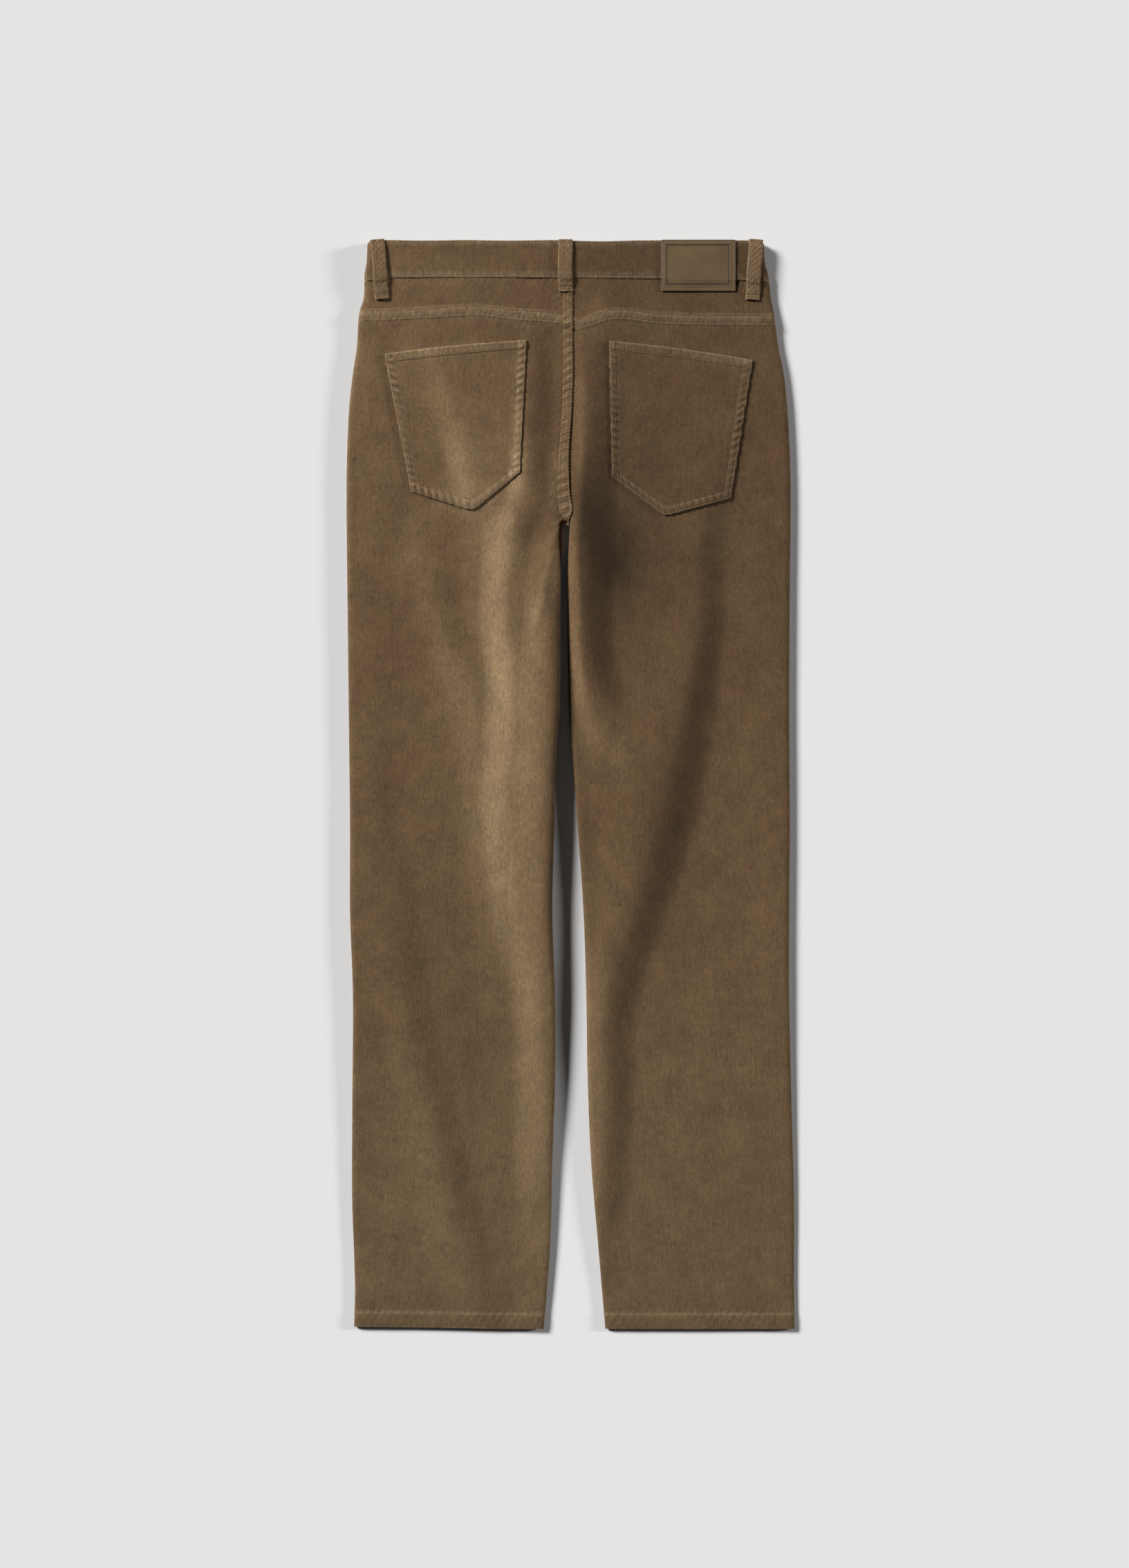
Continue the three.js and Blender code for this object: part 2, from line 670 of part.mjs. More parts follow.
for (const { name, x } of FRONT_LOOPS) {
  const plate = new THREE.BoxGeometry(LOOP_WIDTH, WAIST_Y - FRONT_LOOP_BOTTOM, LOOP_CLOTH);
  const loop = add(name, plate, CORDUROY_LIGHT);
  loop.position.set(x, (WAIST_Y + FRONT_LOOP_BOTTOM) / 2, LOOP_CLOTH / 2);
}

const labelProfile = overBand(LABEL.top, LABEL.bottom, waistSeamY(LABEL.left), LABEL.cloth, 0);
add('label_patch', profiled(labelProfile, LABEL.right - LABEL.left), LEATHER)
  .position.set((LABEL.left + LABEL.right) / 2, 0, 0);

const button = new THREE.CylinderGeometry(BUTTON.radius, BUTTON.radius, BUTTON.height, BUTTON.segments);
button.rotateX(Math.PI / 2);
add('waistband_button', button, BRASS)
  .position.set(FLY_SEAM[0].x, (WAIST_Y + waistSeamY(0)) / 2, BUTTON.height / 2);

// The origin lies under the middle of the outline

const middle = new THREE.Box3().setFromObject(garment).getCenter(new THREE.Vector3());
garment.position.set(-middle.x, -middle.y, 0);

export default garment;
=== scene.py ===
"""Corduroy trousers laid flat on their front, seen from straight above.

The sizes here are in millimetres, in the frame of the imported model: +Y runs from the hems to the waist,
+Z is up and -X is the wearer's left. Each mesh is made in metres.
"""
import logging
import math
from dataclasses import dataclass, field
from enum import Enum
from typing import Callable, NamedTuple, Protocol

import bpy
import numpy as np
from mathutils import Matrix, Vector


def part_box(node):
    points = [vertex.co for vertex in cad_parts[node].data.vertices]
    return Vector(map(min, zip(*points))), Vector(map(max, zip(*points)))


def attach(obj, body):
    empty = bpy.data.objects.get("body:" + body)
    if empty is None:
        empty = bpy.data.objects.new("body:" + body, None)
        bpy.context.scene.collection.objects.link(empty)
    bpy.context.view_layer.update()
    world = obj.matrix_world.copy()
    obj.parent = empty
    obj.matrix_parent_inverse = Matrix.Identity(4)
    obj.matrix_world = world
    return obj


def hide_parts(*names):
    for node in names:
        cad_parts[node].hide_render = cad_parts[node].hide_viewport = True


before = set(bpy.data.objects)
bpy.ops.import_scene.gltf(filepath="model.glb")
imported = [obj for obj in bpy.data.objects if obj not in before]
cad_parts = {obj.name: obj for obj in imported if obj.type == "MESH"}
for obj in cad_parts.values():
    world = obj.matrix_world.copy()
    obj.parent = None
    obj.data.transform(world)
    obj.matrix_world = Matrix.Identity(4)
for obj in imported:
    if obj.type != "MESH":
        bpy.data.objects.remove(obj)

log = logging.getLogger("trousers")

MM = 0.001

Array = np.ndarray
Surface = Callable[[Array, Array], Array]
Piece = bpy.types.Object
Socket = bpy.types.NodeSocket
Colour = tuple[float, float, float, float]


class Side(Enum):
    """Side of the garment, as its wearer has it."""

    LEFT = -1
    RIGHT = 1

    @property
    def word(self) -> str:
        """Name of the side in a node's name."""
        return self.name.lower()


class Slot(Enum):
    """Material slot of the record."""

    CORDUROY = "corduroy"
    LEATHER = "patch_leather"
    METAL = "button_metal"


class Edge(NamedTuple):
    """Outer edges of the outline at one height."""

    y: float
    left: float
    right: float


class Gap(NamedTuple):
    """Gap between the legs at one height."""

    y: float
    centre: float
    width: float


class Knot(NamedTuple):
    """Point of a seam line."""

    x: float
    y: float


class Crest(NamedTuple):
    """Point on the crest of a fold, with the widths of the fold's left and right flanks there."""

    y: float
    x: float
    height: float
    rise: float
    fall: float


class Fold(NamedTuple):
    """Fold on one side of the garment, whose crest runs down it."""

    name: str
    side: Side
    crest: tuple[Crest, ...]


class Crease(NamedTuple):
    """Short soft ridge, or trough where its height is negative, between two points."""

    start: Knot
    end: Knot
    bow: float
    height: float
    width: float


class Strip(NamedTuple):
    """Middle and half width of a sewn band at one height."""

    y: float
    centre: float
    half: float


class Fade(NamedTuple):
    """Soft patch of painted light, or of painted shade where its tone is negative."""

    x: float
    y: float
    width: float
    length: float
    lean: float
    tone: float


class Rectangle(NamedTuple):
    """Upright rectangle."""

    left: float
    right: float
    bottom: float
    top: float

    def inset(self, x: Array, y: Array) -> Array:
        """Distance inside its nearest side, negative outside it."""
        across, up = np.minimum(x - self.left, self.right - x), np.minimum(y - self.bottom, self.top - y)
        return np.minimum(across, up)


class Lamp(NamedTuple):
    """Broad sun: where its light comes from and how wide it is, in degrees, and its irradiance."""

    name: str
    bearing: float
    elevation: float
    strength: float
    softness: float


OUTLINE = (
    Edge(536.2, -200.0, 190.3), Edge(515.8, -200.9, 191.4), Edge(503.5, -203.0, 194.8),
    Edge(479.1, -203.7, 196.9), Edge(462.7, -208.4, 200.3), Edge(431.5, -210.5, 204.3),
    Edge(404.3, -214.5, 209.8), Edge(363.5, -218.6, 213.9), Edge(295.5, -220.7, 216.6),
    Edge(200.3, -220.0, 215.9), Edge(77.9, -218.6, 215.2), Edge(-44.5, -217.3, 215.9),
    Edge(-126.1, -217.3, 215.2), Edge(-207.7, -214.5, 215.2), Edge(-330.1, -215.2, 217.9),
    Edge(-411.7, -215.2, 220.0), Edge(-493.3, -212.5, 220.0), Edge(-536.2, -213.4, 220.7),
)
LEG_GAP = (
    Gap(254.3, -4.8, 7.5), Gap(200.3, -6.5, 6.8), Gap(77.9, -6.1, 8.8), Gap(37.1, -6.4, 14.9),
    Gap(-44.5, -4.5, 23.1), Gap(-126.1, -2.7, 30.6), Gap(-207.7, 0.0, 30.6), Gap(-289.3, 0.7, 32.0),
    Gap(-370.9, 1.0, 38.1), Gap(-452.5, 3.4, 47.0), Gap(-536.2, 3.8, 60.5),
)
SEAT_SEAM = (
    Knot(-5.1, 536.2), Knot(-4.6, 483.8), Knot(-2.7, 442.0), Knot(-4.1, 371.6), Knot(-6.5, 311.0),
    Knot(-7.0, 288.0), Knot(-4.8, 258.0),
)
SEAT_BAND = (
    Strip(490.0, -3.0, 5.2), Strip(431.0, -2.6, 5.0), Strip(397.0, -2.7, 5.1), Strip(371.6, -3.4, 4.9),
    Strip(354.6, -4.7, 4.9), Strip(337.6, -5.9, 5.0), Strip(312.0, -7.3, 5.9), Strip(286.6, -6.9, 7.0),
    Strip(270.0, -4.6, 7.2), Strip(255.0, -3.4, 6.6),
)
FLY_SEAM = (Knot(6.0, 536.2), Knot(4.0, 340.0), Knot(-5.0, 305.0), Knot(-4.8, 258.0))
WAIST_SEAM = (Knot(-204.0, 494.0), Knot(-170.0, 498.0), Knot(160.0, 495.8), Knot(197.0, 492.7))
YOKE_SEAM = (
    Knot(-212.0, 465.4), Knot(-180.0, 466.1), Knot(-119.0, 469.5), Knot(-92.0, 470.9), Knot(-58.0, 466.8),
    Knot(-12.0, 462.7), Knot(4.4, 456.6), Knot(42.0, 466.8), Knot(91.0, 462.4), Knot(205.0, 460.7),
)
FOLDS = (
    Fold("left inner leg", Side.LEFT, (
        Crest(330, -52, 0, 30, 30), Crest(285, -55, 2.2, 32, 34), Crest(250, -57, 4.4, 34, 44),
        Crest(227, -57, 5.2, 34, 70), Crest(160, -59, 5.4, 34, 130), Crest(91, -52, 5.6, 34, 160),
        Crest(-10, -55, 5.4, 36, 180), Crest(-112, -49, 4.8, 36, 180), Crest(-214, -26, 4.4, 36, 180),
        Crest(-316, -22, 3.6, 36, 180), Crest(-418, -22, 2.2, 36, 180), Crest(-536.2, -24, 1.0, 36, 180),
    )),
    Fold("left inseam", Side.LEFT, (
        Crest(262, -14, 0, 20, 200), Crest(225, -20, 2.6, 26, 200), Crest(160, -18, 4.4, 32, 200),
        Crest(91, -14, 5.2, 40, 200), Crest(-10, -14, 5.8, 46, 200), Crest(-112, -18, 5.4, 46, 200),
        Crest(-214, -17, 3.6, 44, 200), Crest(-316, -16, 1.6, 40, 200), Crest(-418, -17, 0.6, 40, 200),
        Crest(-536.2, -24, 0.1, 40, 200),
    )),
    Fold("left of the seat seam", Side.LEFT, (
        Crest(468, -36, 0, 17, 27), Crest(425, -40, 1.6, 17, 27), Crest(364, -43, 2.8, 18, 28),
        Crest(309, -44, 3.5, 20, 30), Crest(275, -48, 2.8, 20, 30), Crest(241, -60, 1.2, 20, 27),
        Crest(215, -66, 0, 20, 27),
    )),
    Fold("across the left pocket", Side.LEFT, (
        Crest(430, -134, 0, 24, 42), Crest(391, -121, 2.2, 26, 42), Crest(310, -98, 2.8, 26, 42),
        Crest(262, -86, 0, 24, 42),
    )),
    Fold("across the left thigh", Side.LEFT, (
        Crest(300, -142, 0, 28, 30), Crest(227, -136, 1.2, 28, 30), Crest(160, -126, 1.8, 28, 30),
        Crest(91, -96, 2.2, 32, 30), Crest(-10, -84, 1.6, 32, 30), Crest(-90, -78, 0, 30, 30),
    )),
    Fold("lower left leg", Side.LEFT, (
        Crest(-40, -190, 0, 40, 30), Crest(-112, -177, 1.0, 40, 30), Crest(-214, -164, 1.8, 40, 30),
        Crest(-316, -139, 2.4, 40, 32), Crest(-418, -116, 2.4, 40, 32), Crest(-500, -92, 1.0, 40, 30),
        Crest(-536.2, -85, 0.5, 40, 30),
    )),
    Fold("right of the seat seam", Side.RIGHT, (
        Crest(470, 10, 0, 14, 30), Crest(440, 14, 1.8, 15, 34), Crest(384, 16, 3.6, 17, 38),
        Crest(295, 13, 5.6, 15, 36), Crest(241, 9, 7.2, 14, 38), Crest(139, 11, 6.6, 14, 36),
        Crest(91, 18, 4.4, 18, 38), Crest(57, 28, 2.8, 24, 40), Crest(0, 38, 1.6, 28, 44),
        Crest(-90, 52, 0, 30, 44),
    )),
    Fold("down the right leg", Side.RIGHT, (
        Crest(400, 160, 0, 72, 30), Crest(336, 150, 1.4, 72, 30), Crest(241, 124, 3.0, 70, 34),
        Crest(160, 122, 4.8, 66, 34), Crest(91, 111, 5.8, 64, 38), Crest(-10, 90, 6.8, 60, 44),
        Crest(-112, 63, 6.0, 52, 42), Crest(-214, 36, 4.8, 30, 34), Crest(-316, 35, 3.6, 26, 30),
        Crest(-418, 31, 2.0, 20, 28), Crest(-500, 28, 0, 20, 28),
    )),
)
CREASES = (
    Crease(Knot(-12.5, 264), Knot(-41, 126), 2, 1.5, 4),
    Crease(Knot(-30, 262), Knot(-47, 130), -3, -0.7, 5),
    Crease(Knot(-58, 236), Knot(-104, 214), 3, 0.8, 9),
    Crease(Knot(-20, 226), Knot(-6, 262), 2, 0.7, 4),
    Crease(Knot(-72, 62), Knot(-14, 56), -2, 0.35, 4),
    Crease(Knot(-70, -108), Knot(-20, -104), 2, 0.3, 4),
    Crease(Knot(-46, -214), Knot(-12, -212), 1, 0.3, 3.5),
    Crease(Knot(4.5, 272), Knot(7, 190), -1, 1.5, 3.6),
    Crease(Knot(-17, 326), Knot(-13, 262), -3, 1.2, 3.4),
    Crease(Knot(-90, 232), Knot(-64, 176), 3, 0.7, 7),
    Crease(Knot(-62, 300), Knot(-52, 240), 2, 0.5, 5),
    Crease(Knot(18, 60), Knot(62, 6), -5, 1.0, 9),
    Crease(Knot(6, 96), Knot(30, 60), -3, 0.6, 6),
    Crease(Knot(22, -60), Knot(70, -84), -3, 0.5, 9),
    Crease(Knot(96, 236), Knot(60, 60), -12, 0.7, 16),
    Crease(Knot(60, 440), Knot(170, 436), 4, 0.5, 8),
    Crease(Knot(-190, 440), Knot(-60, 452), 4, 0.4, 8),
    Crease(Knot(-196, 300), Knot(-168, 180), 5, 0.7, 13),
    Crease(Knot(-150, 240), Knot(-176, 60), -6, 0.6, 15),
    Crease(Knot(-120, 60), Knot(-170, -120), 8, 0.7, 17),
    Crease(Knot(196, 120), Knot(176, -100), -6, 0.7, 16),
    Crease(Knot(150, -140), Knot(120, -330), 8, 0.8, 18),
    Crease(Knot(186, -250), Knot(168, -440), -6, 0.6, 16),
    Crease(Knot(-180, -320), Knot(-160, -470), 5, 0.6, 14),
    Crease(Knot(90, -380), Knot(110, -520), 5, 0.5, 14),
)
# Patches of painted light and painted shade on the cloth.
PAINTED_LIGHT_PATCHES = (
    Fade(-100, 322, 30, 62, 0.1, 0.5),
    Fade(-140, 415, 40, 40, 0, 0.22),
    Fade(-70, 50, 31, 200, -0.05, 0.55),
    Fade(-74, 10, 13, 170, 0.02, 0.32),
    Fade(-50, 90, 14, 80, 0, 0.16),
    Fade(-92, -50, 12, 60, 0, 0.2),
    Fade(-58, 236, 14, 30, 0.3, 0.42),
    Fade(-40, 286, 13, 26, -0.2, 0.75),
    Fade(-34, 165, 9, 40, 0, 0.25),
    Fade(-165, 225, 14, 32, 0.1, 0.25),
    Fade(-24, 395, 15, 62, 0, -0.24),
    Fade(-14, 306, 5, 26, 0, 0.5),
    Fade(10, 275, 13, 40, 0, -0.45),
    Fade(30, 250, 34, 75, 0, -0.22),
    Fade(76, 215, 34, 70, 0, -0.2),
    Fade(32, 56, 20, 40, -0.3, 0.5),
    Fade(8, 92, 8, 40, 0, 0.2),
    Fade(104, 0, 22, 110, 0.2, -0.1),
    Fade(62, -10, 28, 100, 0.15, -0.18),
    Fade(-122, 90, 15, 50, 0.1, 0.2),
    Fade(46, 218, 17, 36, 0, -0.3),
    Fade(70, 235, 45, 95, 0, -0.1),
    Fade(92, -70, 42, 130, 0, -0.11),
    Fade(41, -155, 12, 55, 0, -0.18),
    Fade(22, -130, 8, 60, 0, -0.12),
    Fade(46, 30, 13, 28, 0, 0.2),
    Fade(-85, 474, 62, 16, 0, -0.08),
    Fade(90, 474, 62, 16, 0, -0.04),
    Fade(105, 330, 50, 60, 0, -0.07),
    Fade(-100, 330, 45, 60, 0, 0.05),
    Fade(-20, 514, 170, 15, 0, -0.05),
    Fade(-85, 150, 40, 100, 0, 0.07),
    Fade(-140, -180, 55, 90, 0, -0.06),
    Fade(-29, -165, 13, 70, 0, 0.14),
    Fade(-14, -455, 11, 110, 0, 0.36),
    Fade(-18, 218, 8, 28, 0, 0.35),
    Fade(-96, 280, 22, 20, 0, 0.22),
    Fade(-70, 444, 50, 13, 0, -0.2),
    Fade(-74, 400, 15, 28, 0, -0.14),
    Fade(-184, 0, 13, 200, 0, -0.1),
    Fade(-90, -260, 40, 60, 0, -0.06),
    Fade(-150, -400, 75, 110, 0, 0.16),
    Fade(-40, -330, 28, 120, 0, 0.25),
    Fade(180, 30, 46, 190, 0, 0.12),
    Fade(90, -330, 120, 150, 0, 0.08),
    Fade(22, 462, 13, 28, 0, 0.35),
    Fade(-206, 420, 15, 110, 0, 0.2),
    Fade(-150, 500, 60, 40, 0, 0.16),
    Fade(-110, 525, 70, 12, 0, -0.1),
    Fade(-130, 330, 12, 40, 0.3, -0.1),
    Fade(-175, 190, 14, 60, 0.1, -0.12),
    Fade(-165, 0, 22, 120, 0.1, -0.06),
)

WAIST_Y = 536.2
HEM_Y = -536.2
HEM_REACH = 120.0  # up to what height above the hem the rows follow it
HEM_FADE = 100.0
CROTCH_Y = 254.3
LAY_HEIGHT = 8.0  # top of the back panels where no fold lifts them
LAY_SLACK = 0.2  # how far a fold rises before it takes the front panel with it
SETTLED = 3.4  # how much flatter the legs lie at their hems
SETTLED_FROM = -150.0
SETTLED_OVER = 330.0
ROLL = 6.0  # reach of the panels' rolled edges
SEAM_GAP = 0.1  # gap between pieces that are sewn together
BAND_TOP = 9.2  # outside of the waistband's back half
BAND_REST = 1.8  # outside of its front half, over the ground
BAND_MIDDLE = (BAND_TOP + BAND_REST) / 2
BAND_SWING = (BAND_TOP - BAND_REST) / 2
BAND_REST_FADE = (440.0, 470.0)  # where the front panels rise towards it
BAND_LAP = 22.0
BAND_UNDERLAP = 18.0
BAND_STEP = (28.0, 46.0)  # where the underlap rises over the lap, from the middle of the front
HEM_WIDTH = 15.0
FELL_WIDTH = 9.5
SEAT_FELL_TOP = 482.0
SEAT_FELL_BOTTOM = 259.0
BODY_CENTRE = -5.0
PAINTED_LIGHT_AND_NAP_LEFT = 0.10  # how much paler the cloth is left of the seat seam, and the next how much darker right of it: partly the pile lying another way, partly painted light on the side towards the lamp
PAINTED_LIGHT_AND_NAP_RIGHT = -0.2
PAINTED_LIGHT_OF_SLOPE = 1.5  # painted light: how much paler a flank that faces left is, and how much darker one that faces right


def smooth(value: Array) -> Array:
    """Soft step from 0 to 1."""
    t = np.clip(value, 0.0, 1.0)
    return t * t * (3.0 - 2.0 * t)


def bell(value: Array) -> Array:
    """Soft bump that is 1 at 0."""
    return np.exp(-value * value)


def follow(table: tuple, key: str, place: Array, column: str) -> Array:
    """Values of a column at some places of a table, on a smooth curve through its rows.

    Args:
        table: Rows with named columns, in rising or falling order of the key.
        key: Column that holds the places.
        place: Places to look up.
        column: Column that holds the values.

    Returns:
        A value for each place.
    """
    rows = sorted(table, key=lambda row: getattr(row, key))
    keys = np.array([getattr(row, key) for row in rows], float)
    values = np.array([getattr(row, column) for row in rows], float)
    before = np.maximum(np.arange(len(rows)) - 1, 0)
    after = np.minimum(np.arange(len(rows)) + 1, len(rows) - 1)
    slopes = (values[after] - values[before]) / (keys[after] - keys[before])
    spot = np.clip(np.asarray(place, float), keys[0], keys[-1])
    i = np.clip(np.searchsorted(keys, spot, side="right") - 1, 0, len(rows) - 2)
    span = keys[i + 1] - keys[i]
    t = (spot - keys[i]) / span
    start = values[i] * (1 + 2 * t) * (1 - t) ** 2 + slopes[i] * span * t * (1 - t) ** 2
    return start + values[i + 1] * t * t * (3 - 2 * t) + slopes[i + 1] * span * t * t * (t - 1)


def outer_edge(side: Side, y: Array) -> Array:
    """Place of the side seam at some heights."""
    return follow(OUTLINE, "y", y, side.word)


def waist_seam(x: Array) -> Array:
    """Height of the waistband's lower edge."""
    return follow(WAIST_SEAM, "x", x, "y")


def top_line(x: Array) -> Array:
    """Height of the waistband's upper edge, which dips a little right of the centre loop."""
    x = np.asarray(x)
    return WAIST_Y - 0.9 - 0.8 * bell((x - 38.0) / 34.0) - 0.25 * (1 + np.sin(x / 13.0))


def yoke_seam(x: Array) -> Array:
    """Height of the seam under the yokes."""
    return follow(YOKE_SEAM, "x", x, "y")


def seat_seam(y: Array) -> Array:
    """Place of the seat seam at some heights."""
    return follow(SEAT_SEAM, "y", y, "x")


def hem_line(x: Array) -> Array:
    """Height of the hems, the left one a little lower by the inner leg."""
    return HEM_Y + 2.0 * smooth((-30.0 - np.asarray(x)) / 180.0) * (np.asarray(x) < 0)


def fold_height(x: Array, y: Array) -> Array:
    """How far the large folds lift the cloth.

    Args:
        x: Places across.
        y: Heights in the lay, from hem to waist.

    Returns:
        The lift in millimetres.
    """
    height = np.zeros(np.broadcast(x, y).shape)
    middle = np.where(y > CROTCH_Y, seat_seam(y), follow(LEG_GAP, "y", y, "centre"))
    for fold in FOLDS:
        ys = [crest.y for crest in fold.crest]
        columns = ("height", "x", "rise", "fall")
        peak, crest, rise, fall = (follow(fold.crest, "y", y, column) for column in columns)
        on_it = ((x - middle) * fold.side.value > 0) & (y <= max(ys)) & (y >= min(ys))
        offset = x - crest
        flank = np.where(offset < 0, 1 + offset / rise, 1 - offset / fall)
        height += np.where(on_it, np.maximum(peak, 0.0), 0.0) * smooth(flank)
    return height


def painted_light_and_nap_tone(x: Array, y: Array) -> Array:
    """Brightness painted into the cloth: painted light and shade, with a little of the pile's own tone.

    Args:
        x: Places across.
        y: Heights in the lay, from hem to waist.

    Returns:
        The brightness, about 1.
    """
    upper = smooth((y + 250.0) / 430.0)
    base = 1.0 + np.where(x < seat_seam(y), PAINTED_LIGHT_AND_NAP_LEFT, PAINTED_LIGHT_AND_NAP_RIGHT) * upper
    # Painted light: flanks that face the lamp on the left are paler, and those that face right are darker.
    slope = (fold_height(x + 2.0, y) - fold_height(x - 2.0, y)) / 4.0
    painted_light_patches = np.ones(np.broadcast(x, y).shape)
    # Patches of painted light and painted shade.
    for patch_of_light in PAINTED_LIGHT_PATCHES:
        aside = x - patch_of_light.x - patch_of_light.lean * (y - patch_of_light.y)
        painted_light_patches += patch_of_light.tone * bell(aside / patch_of_light.width) * bell((y - patch_of_light.y) / patch_of_light.length)
    # Painted shade along the left leg's inner edge, beside the gap between the legs.
    inner = bell(distance_to_gap(x, y) / 9.0) * smooth((y + 210.0) / 90.0) * smooth((205.0 - y) / 50.0)
    rolled = 1.0 - 0.5 * inner * (x < follow(LEG_GAP, "y", y, "centre"))
    return base * painted_light_patches * rolled * (1.0 + PAINTED_LIGHT_OF_SLOPE * np.clip(slope, -0.25, 0.35))


def crease_height(x: Array, y: Array) -> Array:
    """Relief of the short creases, and the cloth's own slight unevenness.

    Args:
        x: Places across.
        y: Heights in the lay, from hem to waist.

    Returns:
        The relief in millimetres.
    """
    height = np.zeros(np.broadcast(x, y).shape)
    for crease in CREASES:
        run = np.array([crease.end.x - crease.start.x, crease.end.y - crease.start.y])
        length = float(np.hypot(*run))
        along, across = run / length, np.array([-run[1], run[0]]) / length
        t = ((x - crease.start.x) * along[0] + (y - crease.start.y) * along[1]) / length
        offset = (x - crease.start.x) * across[0] + (y - crease.start.y) * across[1]
        offset = offset - crease.bow * 4 * t * (1 - t)
        taper = smooth(np.clip(t, 0, 1) / 0.35) * smooth((1 - np.clip(t, 0, 1)) / 0.35)
        height += crease.height * bell(offset / crease.width) * taper
    waves = (
        0.16 * np.sin(x / 19.0 + 1.3 * np.sin(y / 71.0)) * np.sin(y / 57.0 + x / 83.0),
        0.11 * np.sin(x / 9.1 + y / 43.0) * np.sin(y / 31.0 - x / 67.0 + 0.8),
        0.05 * np.sin(x / 4.7 - y / 22.0) * np.sin(y / 13.0 + x / 37.0),
    )
    return height + sum(waves)


def layers(x: Array, y: Array) -> tuple[Array, Array]:
    """Top of the back panels and underside of the front panels, away from the rolled edges.

    Args:
        x: Places across.
        y: Heights in the lay, from hem to waist.

    Returns:
        The top and the underside, in millimetres over the ground.
    """
    lift = fold_height(x, y)
    low, high = BAND_REST_FADE
    by_the_band = BAND_REST * smooth((y - low) / (high - low))
    settled = SETTLED * smooth((SETTLED_FROM - y) / SETTLED_OVER)
    return LAY_HEIGHT - settled + lift, np.maximum(np.maximum(by_the_band, lift - LAY_SLACK), 0.0)


def half_gap(y: Array) -> Array:
    """Half of the gap between the panels of the two sides.

    Args:
        y: Heights in the lay, from hem to waist.

    Returns:
        Half of the gap in millimetres.
    """
    radius = LEG_GAP[0].width / 2
    above = np.sqrt(np.maximum(radius ** 2 - (y - CROTCH_Y) ** 2, 0.0))
    return np.where(y <= CROTCH_Y, follow(LEG_GAP, "y", y, "width") / 2, np.maximum(above, SEAM_GAP / 2))


def distance_to_gap(x: Array, y: Array) -> Array:
    """Distance from some points to the edge of the gap between the legs.

    Args:
        x: Places across.
        y: Heights in the lay, from hem to waist.

    Returns:
        The distance in millimetres.
    """
    beside = np.abs(x - follow(LEG_GAP, "y", y, "centre")) - follow(LEG_GAP, "y", y, "width") / 2
    above = np.hypot(x - LEG_GAP[0].centre, y - CROTCH_Y) - LEG_GAP[0].width / 2
    return np.where(y <= CROTCH_Y, beside, above)


def roll_share(distance: Array) -> Array:
    """Share of its full height that a panel has at some distance from a rolled edge."""
    reach = np.clip(distance / ROLL, 0.0, 1.0)
    return np.sqrt(1.0 - (1.0 - reach) ** 2)


def panel_share(side: Side, x: Array, y: Array) -> Array:
    """Share of its full height that a leg's panel has, from the outer edge and the gap between the legs."""
    return roll_share(np.abs(x - outer_edge(side, y))) * roll_share(distance_to_gap(x, y))


def inside_sides(x: Array, y: Array) -> Array:
    """Distance from the nearer of the garment's two outer edges."""
    return np.minimum(x - outer_edge(Side.LEFT, y), outer_edge(Side.RIGHT, y) - x)


def hem_shift(x: Array, rows: Array) -> Array:
    """How far each row is moved up or down, so that the lowest one follows the hem."""
    return (hem_line(x) - HEM_Y) * smooth((HEM_Y + HEM_REACH - rows) / HEM_FADE)


def stitched_band(depth: Array, width: float, rise: float) -> Array:
    """Relief of a felled or turned band, full between its two rows of stitches.

    Args:
        depth: Distance from the band's folded edge, inwards.
        width: Width of the band.
        rise: Height of the band.

    Returns:
        Height above the single cloth.
    """
    edge = smooth(depth / 0.9) * smooth((width + 1.2 - depth) / 1.8)
    rows = 0.42 * bell((depth - 1.7) / 1.0) + 0.5 * bell((depth - width + 1.0) / 1.0)
    return rise * edge - rows * smooth(depth / 0.9)


def puckers(along: Array, pitch: float, seed: float) -> Array:
    """Uneven ripples of about one pitch, between -1 and 1.

    Args:
        along: Places along the seam in millimetres.
        pitch: Mean length of a ripple.
        seed: Number that shifts them, so that no two seams are alike.

    Returns:
        The ripples.
    """
    drift = 1.7 * np.sin(along / (pitch * 3.3) + seed) + 1.1 * np.sin(along / (pitch * 7.1) + 2 * seed)
    swell = 0.65 + 0.35 * np.sin(along / (pitch * 2.3) + 3 * seed)
    return np.sin(2 * math.pi * along / pitch + drift) * swell


